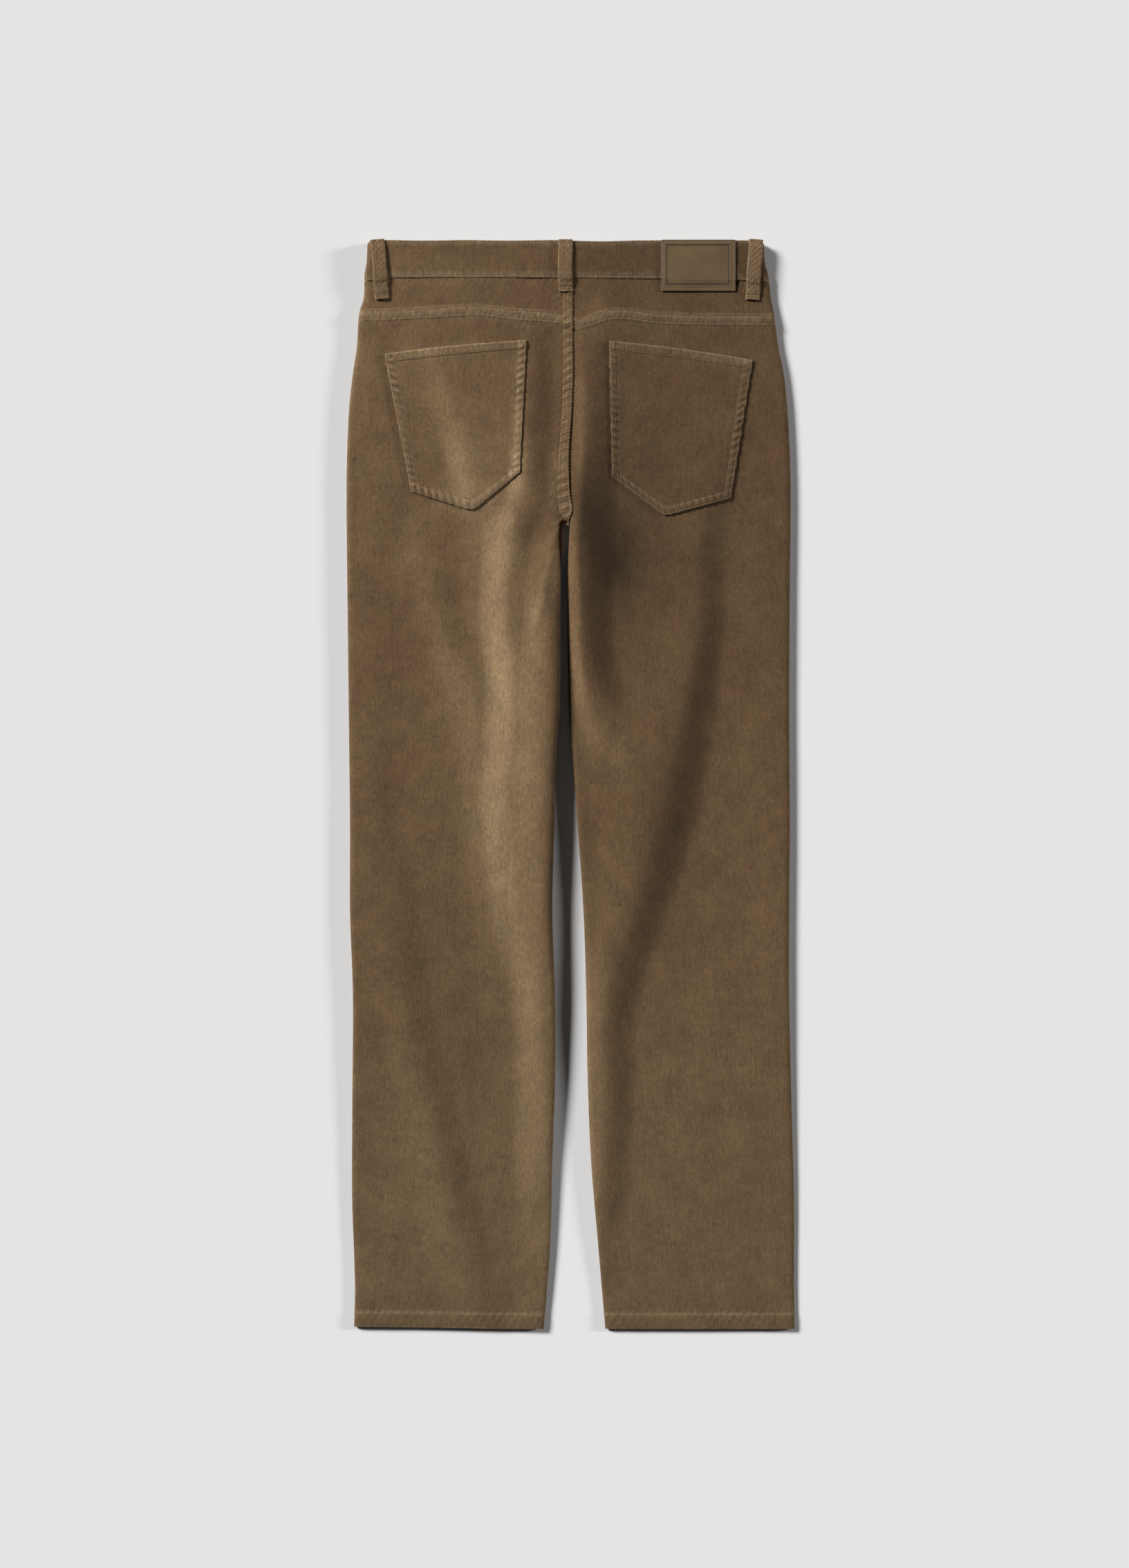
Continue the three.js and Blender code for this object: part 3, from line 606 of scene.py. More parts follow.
def back_height(side: Side, x: Array, y: Array) -> Array:
    """Height of a back panel's outside, with its bands, creases and rolled edges.

    Args:
        side: Side of the garment.
        x: Places across.
        y: Heights in the lay, from hem to waist.

    Returns:
        The height in millimetres over the ground.
    """
    top, under = layers(x, y)
    middle = (top + under) / 2
    below_yoke = yoke_seam(x) - y
    above_hem = y - hem_line(x)
    fine = crease_height(x, y)
    fell = stitched_band(below_yoke, FELL_WIDTH, 1.2)
    drawn = 0.34 * bell((below_yoke - FELL_WIDTH * 0.5) / 5.0)
    drawn += 0.16 * bell((below_yoke - FELL_WIDTH - 3.0) / 8.0)
    fine += np.where(below_yoke > -0.5, fell + puckers(x + 0.4 * below_yoke, 5.2, 1.0) * drawn, 0.0)
    hem = np.where(above_hem < HEM_WIDTH + 4, stitched_band(above_hem, HEM_WIDTH, 0.8), 0.0)
    fine += hem + 0.3 * puckers(x - 0.6 * above_hem, 8.0, 2.0) * bell((above_hem - HEM_WIDTH + 3) / 9.0)
    by_seat = distance_to_seat(x, y)
    fine += 0.25 * puckers(y + 0.7 * np.abs(by_seat), 7.5, 4.0) * bell((by_seat - 5.0) / 8.0)
    full = (top - under) / 2 - SEAM_GAP / 2 + fine
    return middle + SEAM_GAP / 2 + full * panel_share(side, x, y)


def distance_to_seat(x: Array, y: Array) -> Array:
    """Distance from the seat seam, far below the crotch a large one."""
    return np.where(y > SEAT_FELL_BOTTOM - 8, np.abs(x - seat_seam(y)), 1000.0)


def front_height(side: Side, x: Array, y: Array) -> Array:
    """Height of a front panel's outside, which is its underside as it lies.

    Args:
        side: Side of the garment.
        x: Places across.
        y: Heights in the lay, from hem to waist.

    Returns:
        The height in millimetres over the ground.
    """
    top, under = layers(x, y)
    middle = (top + under) / 2
    return middle - SEAM_GAP / 2 - ((top - under) / 2 - SEAM_GAP / 2) * panel_share(side, x, y)


def leg_grain(x: Array, y: Array) -> Array:
    """Place of each point across and along the wales, which lean in towards the seat seam.

    Args:
        x: Places across.
        y: Heights in the lay, from hem to waist.

    Returns:
        Across and along in millimetres, in the last axis.
    """
    aside = x - BODY_CENTRE
    lean = 0.05 + 0.16 * smooth((135.0 - np.abs(aside)) / 135.0)
    shift = 0.05 * y + (lean - 0.05) * (np.maximum(y, 200.0) - 330.0)
    return np.stack([x + np.sign(aside) * shift, y], axis=-1)


def yoke_grain(x: Array, y: Array) -> Array:
    """Place of each point of a yoke across and along its wales.

    Args:
        x: Places across.
        y: Heights in the lay, from hem to waist.

    Returns:
        Across and along in millimetres, in the last axis.
    """
    aside = x - BODY_CENTRE
    lean = 0.26 * smooth((208.0 - np.abs(aside)) / 75.0)
    return np.stack([x + np.sign(aside) * lean * (y - 478.0), y], axis=-1)


def steps(low: float, high: float, pitch: float) -> Array:
    """Evenly spaced values from low to high, about one pitch apart."""
    return np.linspace(low, high, max(int(round((high - low) / pitch)), 1) + 1)


def deselect() -> None:
    """Deselects everything, in object mode."""
    if bpy.context.object and bpy.context.object.mode != "OBJECT":
        bpy.ops.object.mode_set(mode="OBJECT")
    bpy.ops.object.select_all(action="DESELECT")


def pick(piece: Piece) -> None:
    """Selects one piece alone, and makes it the active one.

    Args:
        piece: The piece.
    """
    deselect()
    piece.select_set(True)
    bpy.context.view_layer.objects.active = piece


def apply_modifier(piece: Piece, kind: str, **settings: object) -> None:
    """Gives a piece one modifier and applies it.

    Args:
        piece: The piece.
        kind: Kind of the modifier.
        settings: Its settings, by name.
    """
    modifier = piece.modifiers.new(kind.lower(), kind)
    for name, value in settings.items():
        setattr(modifier, name, value)
    pick(piece)
    bpy.ops.object.modifier_apply(modifier=modifier.name)


def round_off(piece: Piece) -> None:
    """Shades a piece smooth, but for its sharp edges."""
    pick(piece)
    bpy.ops.object.shade_smooth_by_angle(angle=math.radians(55), keep_sharp_edges=False)


def pick_faces(piece: Piece, wanted: Callable[[bpy.types.MeshPolygon], bool]) -> None:
    """Selects some faces of the active piece, and leaves it in edit mode.

    Args:
        piece: The piece, which is the active one.
        wanted: Says of a face whether it is wanted.
    """
    bpy.ops.object.mode_set(mode="EDIT")
    bpy.ops.mesh.select_mode(type="FACE")
    bpy.ops.mesh.select_all(action="DESELECT")
    bpy.ops.object.mode_set(mode="OBJECT")
    for polygon in piece.data.polygons:
        polygon.select = wanted(polygon)
    bpy.ops.object.mode_set(mode="EDIT")


def cloth(name: str, points: Array, grain: Array, thickness: float, wear: Array | float = 0.0,
          nap_and_painted_light: Array | float = 1.0, flip: bool = False) -> Piece:
    """Sheet of cloth on a grid of points, with a thickness.

    Args:
        name: Name of the piece.
        points: Places of the grid's points in millimetres, rows by columns by 3.
        grain: Place of each point across and along the wales in millimetres, rows by columns by 2.
        thickness: Thickness of the cloth in millimetres, given inwards.
        wear: How rubbed the nap is at each point, from 0 to 1.
        nap_and_painted_light: Brightness painted into the cloth at each point, about 1: painted light and
            shade, with the pile's own tone.
        flip: Whether the grid's own normals point into the garment.

    Returns:
        The piece.
    """
    rows, columns = points.shape[:2]
    deselect()
    bpy.ops.mesh.primitive_grid_add(x_subdivisions=columns - 1, y_subdivisions=rows - 1, size=2.0)
    piece = bpy.context.object
    piece.name = piece.data.name = name
    mesh = piece.data
    flat = np.empty(len(mesh.vertices) * 3)
    mesh.vertices.foreach_get("co", flat)
    flat = flat.reshape(-1, 3)
    column = np.rint((flat[:, 0] + 1) / 2 * (columns - 1)).astype(int)
    row = np.rint((flat[:, 1] + 1) / 2 * (rows - 1)).astype(int)
    mesh.vertices.foreach_set("co", (points[row, column] * MM).ravel())
    corners = np.empty(len(mesh.loops), int)
    mesh.loops.foreach_get("vertex_index", corners)
    for layer in list(mesh.uv_layers):
        mesh.uv_layers.remove(layer)
    layer = mesh.uv_layers.new(name="grain")
    layer.data.foreach_set("uv", (grain[row, column] * MM)[corners].ravel())
    for title, values in (("wear", np.clip(wear, 0.0, 1.0)), ("nap_and_painted_light", nap_and_painted_light)):
        attribute = mesh.attributes.new(title, "FLOAT", "POINT")
        attribute.data.foreach_set("value", np.broadcast_to(values, (rows, columns))[row, column])
    if flip:
        bpy.ops.object.mode_set(mode="EDIT")
        bpy.ops.mesh.select_all(action="SELECT")
        bpy.ops.mesh.flip_normals()
        bpy.ops.object.mode_set(mode="OBJECT")
    apply_modifier(piece, "SOLIDIFY", thickness=thickness * MM, offset=-1.0)
    round_off(piece)
    return piece


def dress(piece: Piece, material: bpy.types.Material, slot: Slot, *nodes: str) -> None:
    """Gives a piece its finish, hangs it from the root, and hides the CAD nodes that it stands for.

    Args:
        piece: The piece.
        material: Its finish.
        slot: Not used.
        nodes: The CAD nodes that it stands for.
    """
    piece.data.materials.clear()
    piece.data.materials.append(material)
    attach(piece, "root")
    if nodes:
        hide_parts(*nodes)


class Shader:
    """Node tree of one material, built up by short calls."""

    def __init__(self, name: str) -> None:
        """Starts an empty material with a Principled shader.

        Args:
            name: Name of the material.
        """
        self.material = bpy.data.materials.new(name)
        self.material.use_nodes = True
        self.tree = self.material.node_tree
        self.tree.nodes.clear()
        self.output = self.tree.nodes.new("ShaderNodeOutputMaterial")
        self.surface = self.add("ShaderNodeBsdfPrincipled")
        self.link(self.surface.outputs[0], self.output.inputs["Surface"])

    def add(self, kind: str, settings: dict[str, object] | None = None, **inputs: object) -> bpy.types.Node:
        """Adds a node, with its settings and the values or links of its inputs.

        Args:
            kind: Kind of the node.
            settings: Its settings, by name.
            inputs: Values or links of its inputs.

        Returns:
            The node.
        """
        node = self.tree.nodes.new(kind)
        for name, value in (settings or {}).items():
            setattr(node, name, value)
        self.feed_all(node, inputs)
        return node

    def feed_all(self, node: bpy.types.Node, inputs: dict[str, object]) -> None:
        """Sets or links several inputs of a node, with underscores for the blanks in their names."""
        for name, value in inputs.items():
            self.feed(node, name.replace("_", " "), value)

    def feed(self, node: bpy.types.Node, name: str | int, value: object) -> None:
        """Sets or links one input of a node.

        Args:
            node: The node.
            name: Name or number of the input, a number also written i0 and so on.
            value: Value, or socket to link.
        """
        key = int(name[1:]) if isinstance(name, str) and name[0] == "i" and name[1:].isdigit() else name
        socket = node.inputs[key]
        if isinstance(value, Socket):
            self.link(value, socket)
        else:
            socket.default_value = value

    def link(self, source: Socket, target: Socket) -> None:
        """Links two sockets."""
        self.tree.links.new(source, target)

    def finish(self, **inputs: object) -> bpy.types.Material:
        """Sets or links the surface's inputs, and gives the material."""
        self.feed_all(self.surface, inputs)
        return self.material

    def math(self, operation: str, first: object, second: object = 0.0) -> Socket:
        """Result of one sum on numbers."""
        return self.add("ShaderNodeMath", {"operation": operation}, i0=first, i1=second).outputs[0]

    def weigh(self, *parts: tuple[object, object]) -> Socket:
        """Sum of some values, each with its weight.

        Args:
            parts: Pairs of a value and its weight.

        Returns:
            The sum.
        """
        total = self.math("MULTIPLY", *parts[0])
        for part in parts[1:]:
            total = self.math("ADD", total, self.math("MULTIPLY", *part))
        return total

    def attribute(self, name: str) -> Socket:
        """Number that the mesh holds at each point."""
        return self.add("ShaderNodeAttribute", {"attribute_name": name}).outputs["Fac"]

    def stretch(self, vector: Socket, across: float, along: float) -> Socket:
        """Places scaled across and along."""
        return self.add("ShaderNodeMapping", Vector=vector, Scale=(across, along, 1.0)).outputs[0]

    def mix(self, share: object, first: object, second: object) -> Socket:
        """Blend of two colours.

        Args:
            share: Share of the second colour.
            first: First colour.
            second: Second colour.

        Returns:
            The blend.
        """
        node = self.add("ShaderNodeMix", {"data_type": "RGBA"})
        self.feed(node, 0, share)
        self.feed(node, 6, first)
        self.feed(node, 7, second)
        return node.outputs[2]

    def noise(self, vector: Socket, scale: float, detail: float = 2.0, rough: float = 0.5) -> Socket:
        """Noise between 0 and 1."""
        node = self.add("ShaderNodeTexNoise", Vector=vector, Scale=scale, Detail=detail, Roughness=rough)
        return node.outputs[0]

    def spread(self, value: object, low: float, high: float) -> Socket:
        """Value between two ends, spread to 0 and 1.

        Args:
            value: The value.
            low: Value that becomes 0.
            high: Value that becomes 1.

        Returns:
            The value, held between 0 and 1.
        """
        node = self.add("ShaderNodeMapRange", {"clamp": True})
        for name, number in zip(("Value", "From Min", "From Max"), (value, low, high)):
            self.feed(node, name, number)
        return node.outputs[0]


def linear(red: int, green: int, blue: int) -> Colour:
    """Linear colour of an sRGB one, with channels from 0 to 255.

    Args:
        red: Red channel.
        green: Green channel.
        blue: Blue channel.

    Returns:
        The linear channels and an alpha of 1.
    """
    def one(value: int) -> float:
        """Linear value of one channel."""
        share = value / 255.0
        return share / 12.92 if share <= 0.04045 else ((share + 0.055) / 1.055) ** 2.4

    return one(red), one(green), one(blue), 1.0


@dataclass(frozen=True)
class Corduroy:
    """Fine-wale cotton corduroy with a soft pile."""

    name: str = "corduroy"
    pitch: float = 1.81
    ridge: Colour = linear(113, 90, 61)
    lower: Colour = linear(111, 90, 63)
    rubbed: Colour = linear(152, 128, 98)
    # Colour in the grooves between the wales: the ground weave's darker tone, with painted shade there.
    valley: Colour = linear(76, 58, 40)
    warm: Colour = linear(112, 83, 57)
    bloom: Colour = linear(214, 184, 146)
    relief: float = 0.12

    def material(self) -> bpy.types.Material:
        """Wales across the grain, uneven tone in patches, painted light and shade, and rubbed edges.

        Returns:
            The material.
        """
        s = Shader(self.name)
        grain = s.add("ShaderNodeUVMap", {"uv_map": "grain"}).outputs[0]
        parts = s.add("ShaderNodeSeparateXYZ", Vector=grain)
        place = s.add("ShaderNodeTexCoord").outputs["Object"]
        height_up = s.spread(s.add("ShaderNodeSeparateXYZ", Vector=place).outputs[1], -0.5, 0.15)
        long_grain = s.stretch(grain, 1.0, 0.12)
        short_grain = s.stretch(grain, 1.0, 0.3)
        cross_grain = s.stretch(grain, 0.9, 0.7)
        tufts = s.stretch(grain, 1.0, 0.5)
        wander = s.math("MULTIPLY", s.math("SUBTRACT", s.noise(long_grain, 260.0, 3.0, 0.6), 0.5), 1.5 * MM)
        across = s.math("ADD", parts.outputs[0], wander)
        phase = s.math("MULTIPLY", across, math.pi / (self.pitch * MM))
        wale = s.math("POWER", s.math("ABSOLUTE", s.math("SINE", phase)), 1.6)
        fibre = s.spread(s.noise(tufts, 1000.0, 4.0, 0.75), 0.28, 0.72)
        speckle = s.spread(s.noise(tufts, 330.0, 4.0, 0.7), 0.3, 0.7)
        ladder = s.spread(s.noise(short_grain, 420.0, 2.0, 0.5), 0.36, 0.64)
        patches = s.spread(s.noise(grain, 14.0, 5.0, 0.65), 0.36, 0.64)
        streaks = s.spread(s.noise(long_grain, 230.0, 3.0, 0.55), 0.3, 0.7)
        clouds = s.spread(s.noise(grain, 30.0, 5.0, 0.6), 0.34, 0.66)
        smudges = s.spread(s.noise(cross_grain, 95.0, 4.0, 0.6), 0.34, 0.66)
        lint = s.spread(s.noise(tufts, 1300.0, 2.0, 0.6), 0.6, 0.78)
        grit = s.spread(s.noise(tufts, 620.0, 3.0, 0.7), 0.32, 0.68)
        wear = s.math("MULTIPLY", s.attribute("wear"), s.math("ADD", 0.3, s.math("MULTIPLY", ladder, 0.8)))
        ridge = s.mix(height_up, self.lower, self.ridge)
        ridge = s.mix(s.math("MULTIPLY", s.math("MULTIPLY", patches, 0.8), height_up), ridge, self.warm)
        pale = s.math("MAXIMUM", s.math("MULTIPLY", lint, 0.3), wear)
        ridge = s.mix(pale, ridge, self.rubbed)
        # The attribute read here holds painted light and shade as well as the pile's own tone.
        nap_and_painted_light = s.attribute("nap_and_painted_light")
        # The wales show less where the painted light is brighter.
        wale_weight_by_light = s.math("SUBTRACT", 0.46, s.math("MULTIPLY", s.spread(nap_and_painted_light, 0.8, 1.5), 0.16))
        depth = s.weigh((wale, wale_weight_by_light), (fibre, 0.45), (speckle, 0.2))
        # Darker in the grooves between the wales: painted shade laid on the ground weave's own tone.
        colour = s.mix(s.spread(depth, -0.05, 0.86), self.valley, ridge)
        shade = s.weigh((streaks, 0.1), (clouds, 0.22), (speckle, 0.26), (smudges, 0.14), (grit, 0.24))
        # Scaling the colour by it paints the light and shade into the colour.
        tone = s.math("MULTIPLY", s.math("ADD", shade, 0.47), nap_and_painted_light)
        colour = s.add("ShaderNodeVectorMath", {"operation": "SCALE"}, i0=colour, Scale=tone).outputs[0]
        # Painted highlights are a little less saturated and shifted in hue.
        painted_highlight_saturation = s.math("SUBTRACT", 1.0, s.math("MULTIPLY", s.spread(nap_and_painted_light, 0.9, 2.0), 0.1))
        painted_highlight_hue = s.math("ADD", 0.5, s.math("MULTIPLY", s.spread(nap_and_painted_light, 1.05, 1.7), 0.008))
        colour = s.add("ShaderNodeHueSaturation", Hue=painted_highlight_hue, Saturation=painted_highlight_saturation, Color=colour).outputs[0]
        height = s.math("ADD", wale, s.math("MULTIPLY", fibre, 0.8))
        bump = s.add("ShaderNodeBump", Height=height, Distance=self.relief * MM, Strength=0.9)
        return s.finish(
            Base_Color=colour, Normal=bump.outputs[0], Roughness=0.92, Specular_IOR_Level=0.2,
            Sheen_Weight=0.28, Sheen_Roughness=0.45, Sheen_Tint=self.bloom,
        )


@dataclass(frozen=True)
class Thread:
    """Matt sewing thread, a little lighter than the cloth."""

    name: str = "thread"
    colour: Colour = linear(152, 127, 96)
    dark: Colour = linear(116, 93, 68)

    def material(self) -> bpy.types.Material:
        """Plied thread with fine twist.

        Returns:
            The material.
        """
        s = Shader(self.name)
        place = s.add("ShaderNodeTexCoord").outputs["Object"]
        twist = s.spread(s.noise(place, 1800.0, 2.0), 0.35, 0.7)
        return s.finish(Base_Color=s.mix(twist, self.dark, self.colour), Roughness=0.7, Sheen_Weight=0.15)


@dataclass(frozen=True)
class PatchLeather:
    """Matt patch with a fine grain."""

    name: str = "patch_leather"
    light: Colour = linear(103, 82, 51)
    deep: Colour = linear(95, 74, 46)
    pressed: Colour = linear(54, 40, 27)

    def material(self) -> bpy.types.Material:
        """Pebbled grain over a slightly cloudy colour.

        Returns:
            The material.
        """
        s = Shader(self.name)
        place = s.add("ShaderNodeTexCoord").outputs["Object"]
        cells = s.add("ShaderNodeTexVoronoi", {"feature": "DISTANCE_TO_EDGE"}, Vector=place, Scale=1300.0)
        clouds = s.spread(s.noise(place, 45.0, 4.0), 0.3, 0.7)
        colour = s.mix(clouds, self.deep, self.light)
        colour = s.mix(s.math("MULTIPLY", s.attribute("wear"), 0.9), colour, self.pressed)
        rough = s.math("ADD", 0.52, s.math("MULTIPLY", clouds, 0.16))
        pebbles = s.spread(cells.outputs[0], 0.0, 0.25)
        bump = s.add("ShaderNodeBump", Height=pebbles, Distance=0.05 * MM, Strength=0.6)
        return s.finish(Base_Color=colour, Roughness=rough, Normal=bump.outputs[0])


@dataclass(frozen=True)
class AgedBrass:
    """Satin metal of the waistband button."""

    name: str = "aged_brass"
    metal: Colour = linear(150, 122, 80)
    stain: Colour = linear(88, 70, 48)

    def material(self) -> bpy.types.Material:
        """Brushed metal with darker spots.

        Returns:
            The material.
        """
        s = Shader(self.name)
        place = s.add("ShaderNodeTexCoord").outputs["Object"]
        spots = s.spread(s.noise(place, 420.0, 4.0), 0.4, 0.75)
        rough = s.math("ADD", 0.32, s.math("MULTIPLY", spots, 0.25))
        return s.finish(Base_Color=s.mix(spots, self.metal, self.stain), Roughness=rough, Metallic=1.0)


@dataclass
class Finishes:
    """All finishes of the garment, made once."""

    corduroy: bpy.types.Material = field(default_factory=lambda: Corduroy().material())
    band: bpy.types.Material = field(
        default_factory=lambda: Corduroy(name="corduroy_band", pitch=1.97).material(),
    )
    thread: bpy.types.Material = field(default_factory=lambda: Thread().material())
    leather: bpy.types.Material = field(default_factory=lambda: PatchLeather().material())
    brass: bpy.types.Material = field(default_factory=lambda: AgedBrass().material())


@dataclass
class Part:
    """Anything that is cut or set on, with the finishes to dress it in."""

    finishes: Finishes


@dataclass
class Needle:
    """Rows of stitches, each stitch a copy of one modelled thread."""

    length: float = 2.5
    pitch: float = 3.3
    radius: float = 0.27
    sink: float = 0.02
    runs: list[tuple[Array, Array, Array]] = field(default_factory=list)

    def run(self, surface: Surface, a: Array, b: Array) -> None:
        """Adds a row of stitches along a line on a surface.

        Args:
            surface: Surface that is sewn.
            a: First coordinate of the line's points on it.
            b: Second coordinate of the line's points.
        """
        line = surface(a, b)
        aside = surface(a + 0.4, b) - line
        ahead = surface(a, b + 0.4) - line
        normal = np.cross(aside, ahead)
        normal /= np.maximum(np.linalg.norm(normal, axis=1, keepdims=True), 1e-9)
        normal *= np.where(normal[:, 2:] < 0, -1.0, 1.0)
        travelled = np.concatenate([[0.0], np.cumsum(np.linalg.norm(np.diff(line, axis=0), axis=1))])
        starts = np.arange(self.pitch * 0.4, travelled[-1] - self.length, self.pitch)

        def at(values: Array, where: Array) -> Array:
            """Values of the line at some travelled distances."""
            return np.stack([np.interp(where, travelled, values[:, i]) for i in range(3)], axis=1)

        first, last = at(line, starts), at(line, starts + self.length)
        up = at(normal, starts + self.length / 2)
        self.runs.append((first, last, up))

    def tack(self, surface: Surface, a: tuple[float, float], b: tuple[float, float], width: float,
             unit: float = 1.0) -> None:
        """Adds a bar tack: short stitches close together across a line.

        Args:
            surface: Surface that is sewn.
            a: First coordinates of the bar's two ends.
            b: Second coordinates of the bar's two ends.
            width: Length of the bar's stitches.
            unit: Length in millimetres of one unit of the first coordinate.
        """
        count = max(int(math.hypot((a[1] - a[0]) * unit, b[1] - b[0]) / (self.radius * 2.1)), 2)
        share = np.linspace(0.0, 1.0, count)
        place_a, place_b = a[0] + (a[1] - a[0]) * share, b[0] + (b[1] - b[0]) * share
        lean = 0.25 / unit * np.where(np.arange(count) % 2, 1.0, -1.0)
        first = surface(place_a + lean, place_b - width / 2)
        last = surface(place_a - lean, place_b + width / 2)
        up = np.tile([0.0, 0.0, 1.0], (count, 1))
        self.runs.append((first, last, up))

    def thread(self) -> tuple[Array, list[tuple[int, ...]]]:
        """One stitch, lying along X from -0.5 to 0.5, as points and faces.

        Returns:
            The points, and the faces as numbers of their points.
        """
        deselect()
        bpy.ops.mesh.primitive_cylinder_add(
            vertices=6, radius=1.0, depth=1.0, end_fill_type="NGON", rotation=(0.0, math.pi / 2, 0.0),
        )
        model = bpy.context.object
        bpy.ops.object.transform_apply(location=False, rotation=True, scale=False)
        pick_faces(model, lambda face: abs(face.normal.x) > 0.9)
        bpy.ops.mesh.extrude_region_move(TRANSFORM_OT_translate={"value": (0.0, 0.0, 0.0)})
        bpy.ops.transform.resize(value=(1.0, 0.45, 0.45))
        bpy.ops.mesh.select_all(action="SELECT")
        bpy.ops.mesh.normals_make_consistent(inside=False)
        bpy.ops.object.mode_set(mode="OBJECT")
        points = np.array([tuple(v.co) for v in model.data.vertices])
        outer = np.linalg.norm(points[:, 1:], axis=1) > 0.7
        points[outer, 0] *= 0.72
        faces = [tuple(p.vertices) for p in model.data.polygons]
        bpy.data.objects.remove(model)
        return points, faces

    def sew(self, name: str) -> Piece:
        """Makes one piece of all the rows so far, and starts anew.

        Args:
            name: Name of the piece.

        Returns:
            The piece.
        """
        shape, shape_faces = self.thread()
        first, last, up = (np.concatenate([run[i] for run in self.runs]) for i in range(3))
        self.runs = []
        along = last - first
        length = np.linalg.norm(along, axis=1, keepdims=True)
        along = along / np.maximum(length, 1e-9)
        side = np.cross(up, along)
        side /= np.maximum(np.linalg.norm(side, axis=1, keepdims=True), 1e-9)
        top = np.cross(along, side)
        centre = (first + last) / 2 + top * (self.radius * 0.55 - self.sink)
        bowed = shape[None, :, :]
        droop = 0.5 * self.radius * (2 * bowed[..., 0:1]) ** 2
        points = (
            centre[:, None, :]
            + along[:, None, :] * bowed[..., 0:1] * length[:, None, :]
            + side[:, None, :] * bowed[..., 1:2] * self.radius
            + top[:, None, :] * (bowed[..., 2:3] * self.radius - droop)
        )
        starts = range(0, len(first) * len(shape), len(shape))
        faces = [tuple(index + start for index in face) for start in starts for face in shape_faces]
        mesh = bpy.data.meshes.new(name)
        mesh.from_pydata((points.reshape(-1, 3) * MM).tolist(), [], faces)
        mesh.update()
        mesh.shade_smooth()
        piece = bpy.data.objects.new(name, mesh)
        bpy.context.collection.objects.link(piece)
        return piece


class Sewable(Protocol):
    """Part with stitches of its own."""

    def build(self) -> Piece:
        """Builds and dresses the part."""

    def sew(self, needle: Needle) -> None:
        """Sews the part."""


@dataclass
class BackLeg(Part):
    """Back panel of one leg, from the yoke's seam to the hem."""

    side: Side
    thickness: float = 1.7
    column_pitch: float = 2.1
    fine_pitch: float = 2.3
    coarse_pitch: float = 4.2
    top_row: float = 458.0
    lift_from: float = 418.0
    lift_over: float = 28.0
    seam_margin: float = 6.5
    edge_margin: float = 0.8

    def surface(self, x: Array, y: Array) -> Array:
        """Points of the panel's outside over some places."""
        return np.stack([x, y, back_height(self.side, x, y)], axis=-1)

    def places(self) -> tuple[Array, Array]:
        """Places of the panel's grid, rows from the hem up by columns from left to right.

        Returns:
            The places across, and the heights in the lay.
        """
        rows = np.concatenate([
            steps(HEM_Y, HEM_Y + 21, 1.3)[:-1], steps(HEM_Y + 21, 232, self.coarse_pitch)[:-1],
            steps(232, 252, 1.6)[:-1], steps(252, 266, 0.7)[:-1], steps(266, 446, self.fine_pitch)[:-1],
            steps(446, self.top_row, 0.75),
        ])
        return panel_grid(self.side, rows, SEAT_SEAM, self.column_pitch, self.heights)

    def heights(self, x: Array, rows: Array) -> Array:
        """Heights of some points: the top row follows the yoke's seam and the lowest one the hem."""
        lift = yoke_seam(x) - self.top_row - SEAM_GAP / 2
        return rows + lift * smooth((rows - self.lift_from) / self.lift_over) + hem_shift(x, rows)

    def build(self) -> Piece:
        """Builds and dresses the panel.

        Returns:
            The panel.
        """
        x, y = self.places()
        points = self.surface(x, y)
        grain = leg_grain(x, y)
        below = yoke_seam(x) - y
        wear = 0.9 * bell((below - 0.8) / 1.6) + 0.7 * bell((below - FELL_WIDTH + 0.5) / 1.8)
        wear += (0.5 + 0.25 * puckers(x + 0.4 * below, 5.2, 1.0)) * bell((below - FELL_WIDTH * 0.5) / 4.0)
        wear += 0.9 * bell((y - hem_line(x)) / 1.5) + 0.5 * bell((y - hem_line(x) - HEM_WIDTH) / 1.5)
        wear += 0.3 * bell((x - outer_edge(self.side, y)) / 2.0) * smooth((y - 150.0) / 120.0)
        name = f"back_leg_{self.side.word}"
        # The panel's brightness carries painted light and shade.
        panel = cloth(name, points, grain, self.thickness, wear, painted_light_and_nap_tone(x, y))
        dress(panel, self.finishes.corduroy, Slot.CORDUROY, name)
        f"front_leg_{self.side.word}"
        return panel

    def sew(self, needle: Needle) -> None:
        """Sews the two rows of the felled yoke seam and the row of the hem.

        Args:
            needle: Needle that sews them.
        """
        out = self.side.value
        inner = seat_seam(460.0) + out * self.seam_margin
        outer = outer_edge(self.side, self.top_row) - out * self.edge_margin
        x = np.linspace(*sorted((float(inner), float(outer))), 260)
        for depth in (1.7, FELL_WIDTH - 1.0):
            needle.run(self.surface, x, yoke_seam(x) - depth)
        level = HEM_Y + HEM_WIDTH
        inner = follow(LEG_GAP, "y", level, "centre") + out * follow(LEG_GAP, "y", level, "width") / 2
        outer = outer_edge(self.side, level)
        ends = sorted((float(inner) + out * self.edge_margin, float(outer) - out * self.edge_margin))
        x = np.linspace(*ends, 260)
        needle.run(self.surface, x, hem_line(x) + HEM_WIDTH - 1.0)


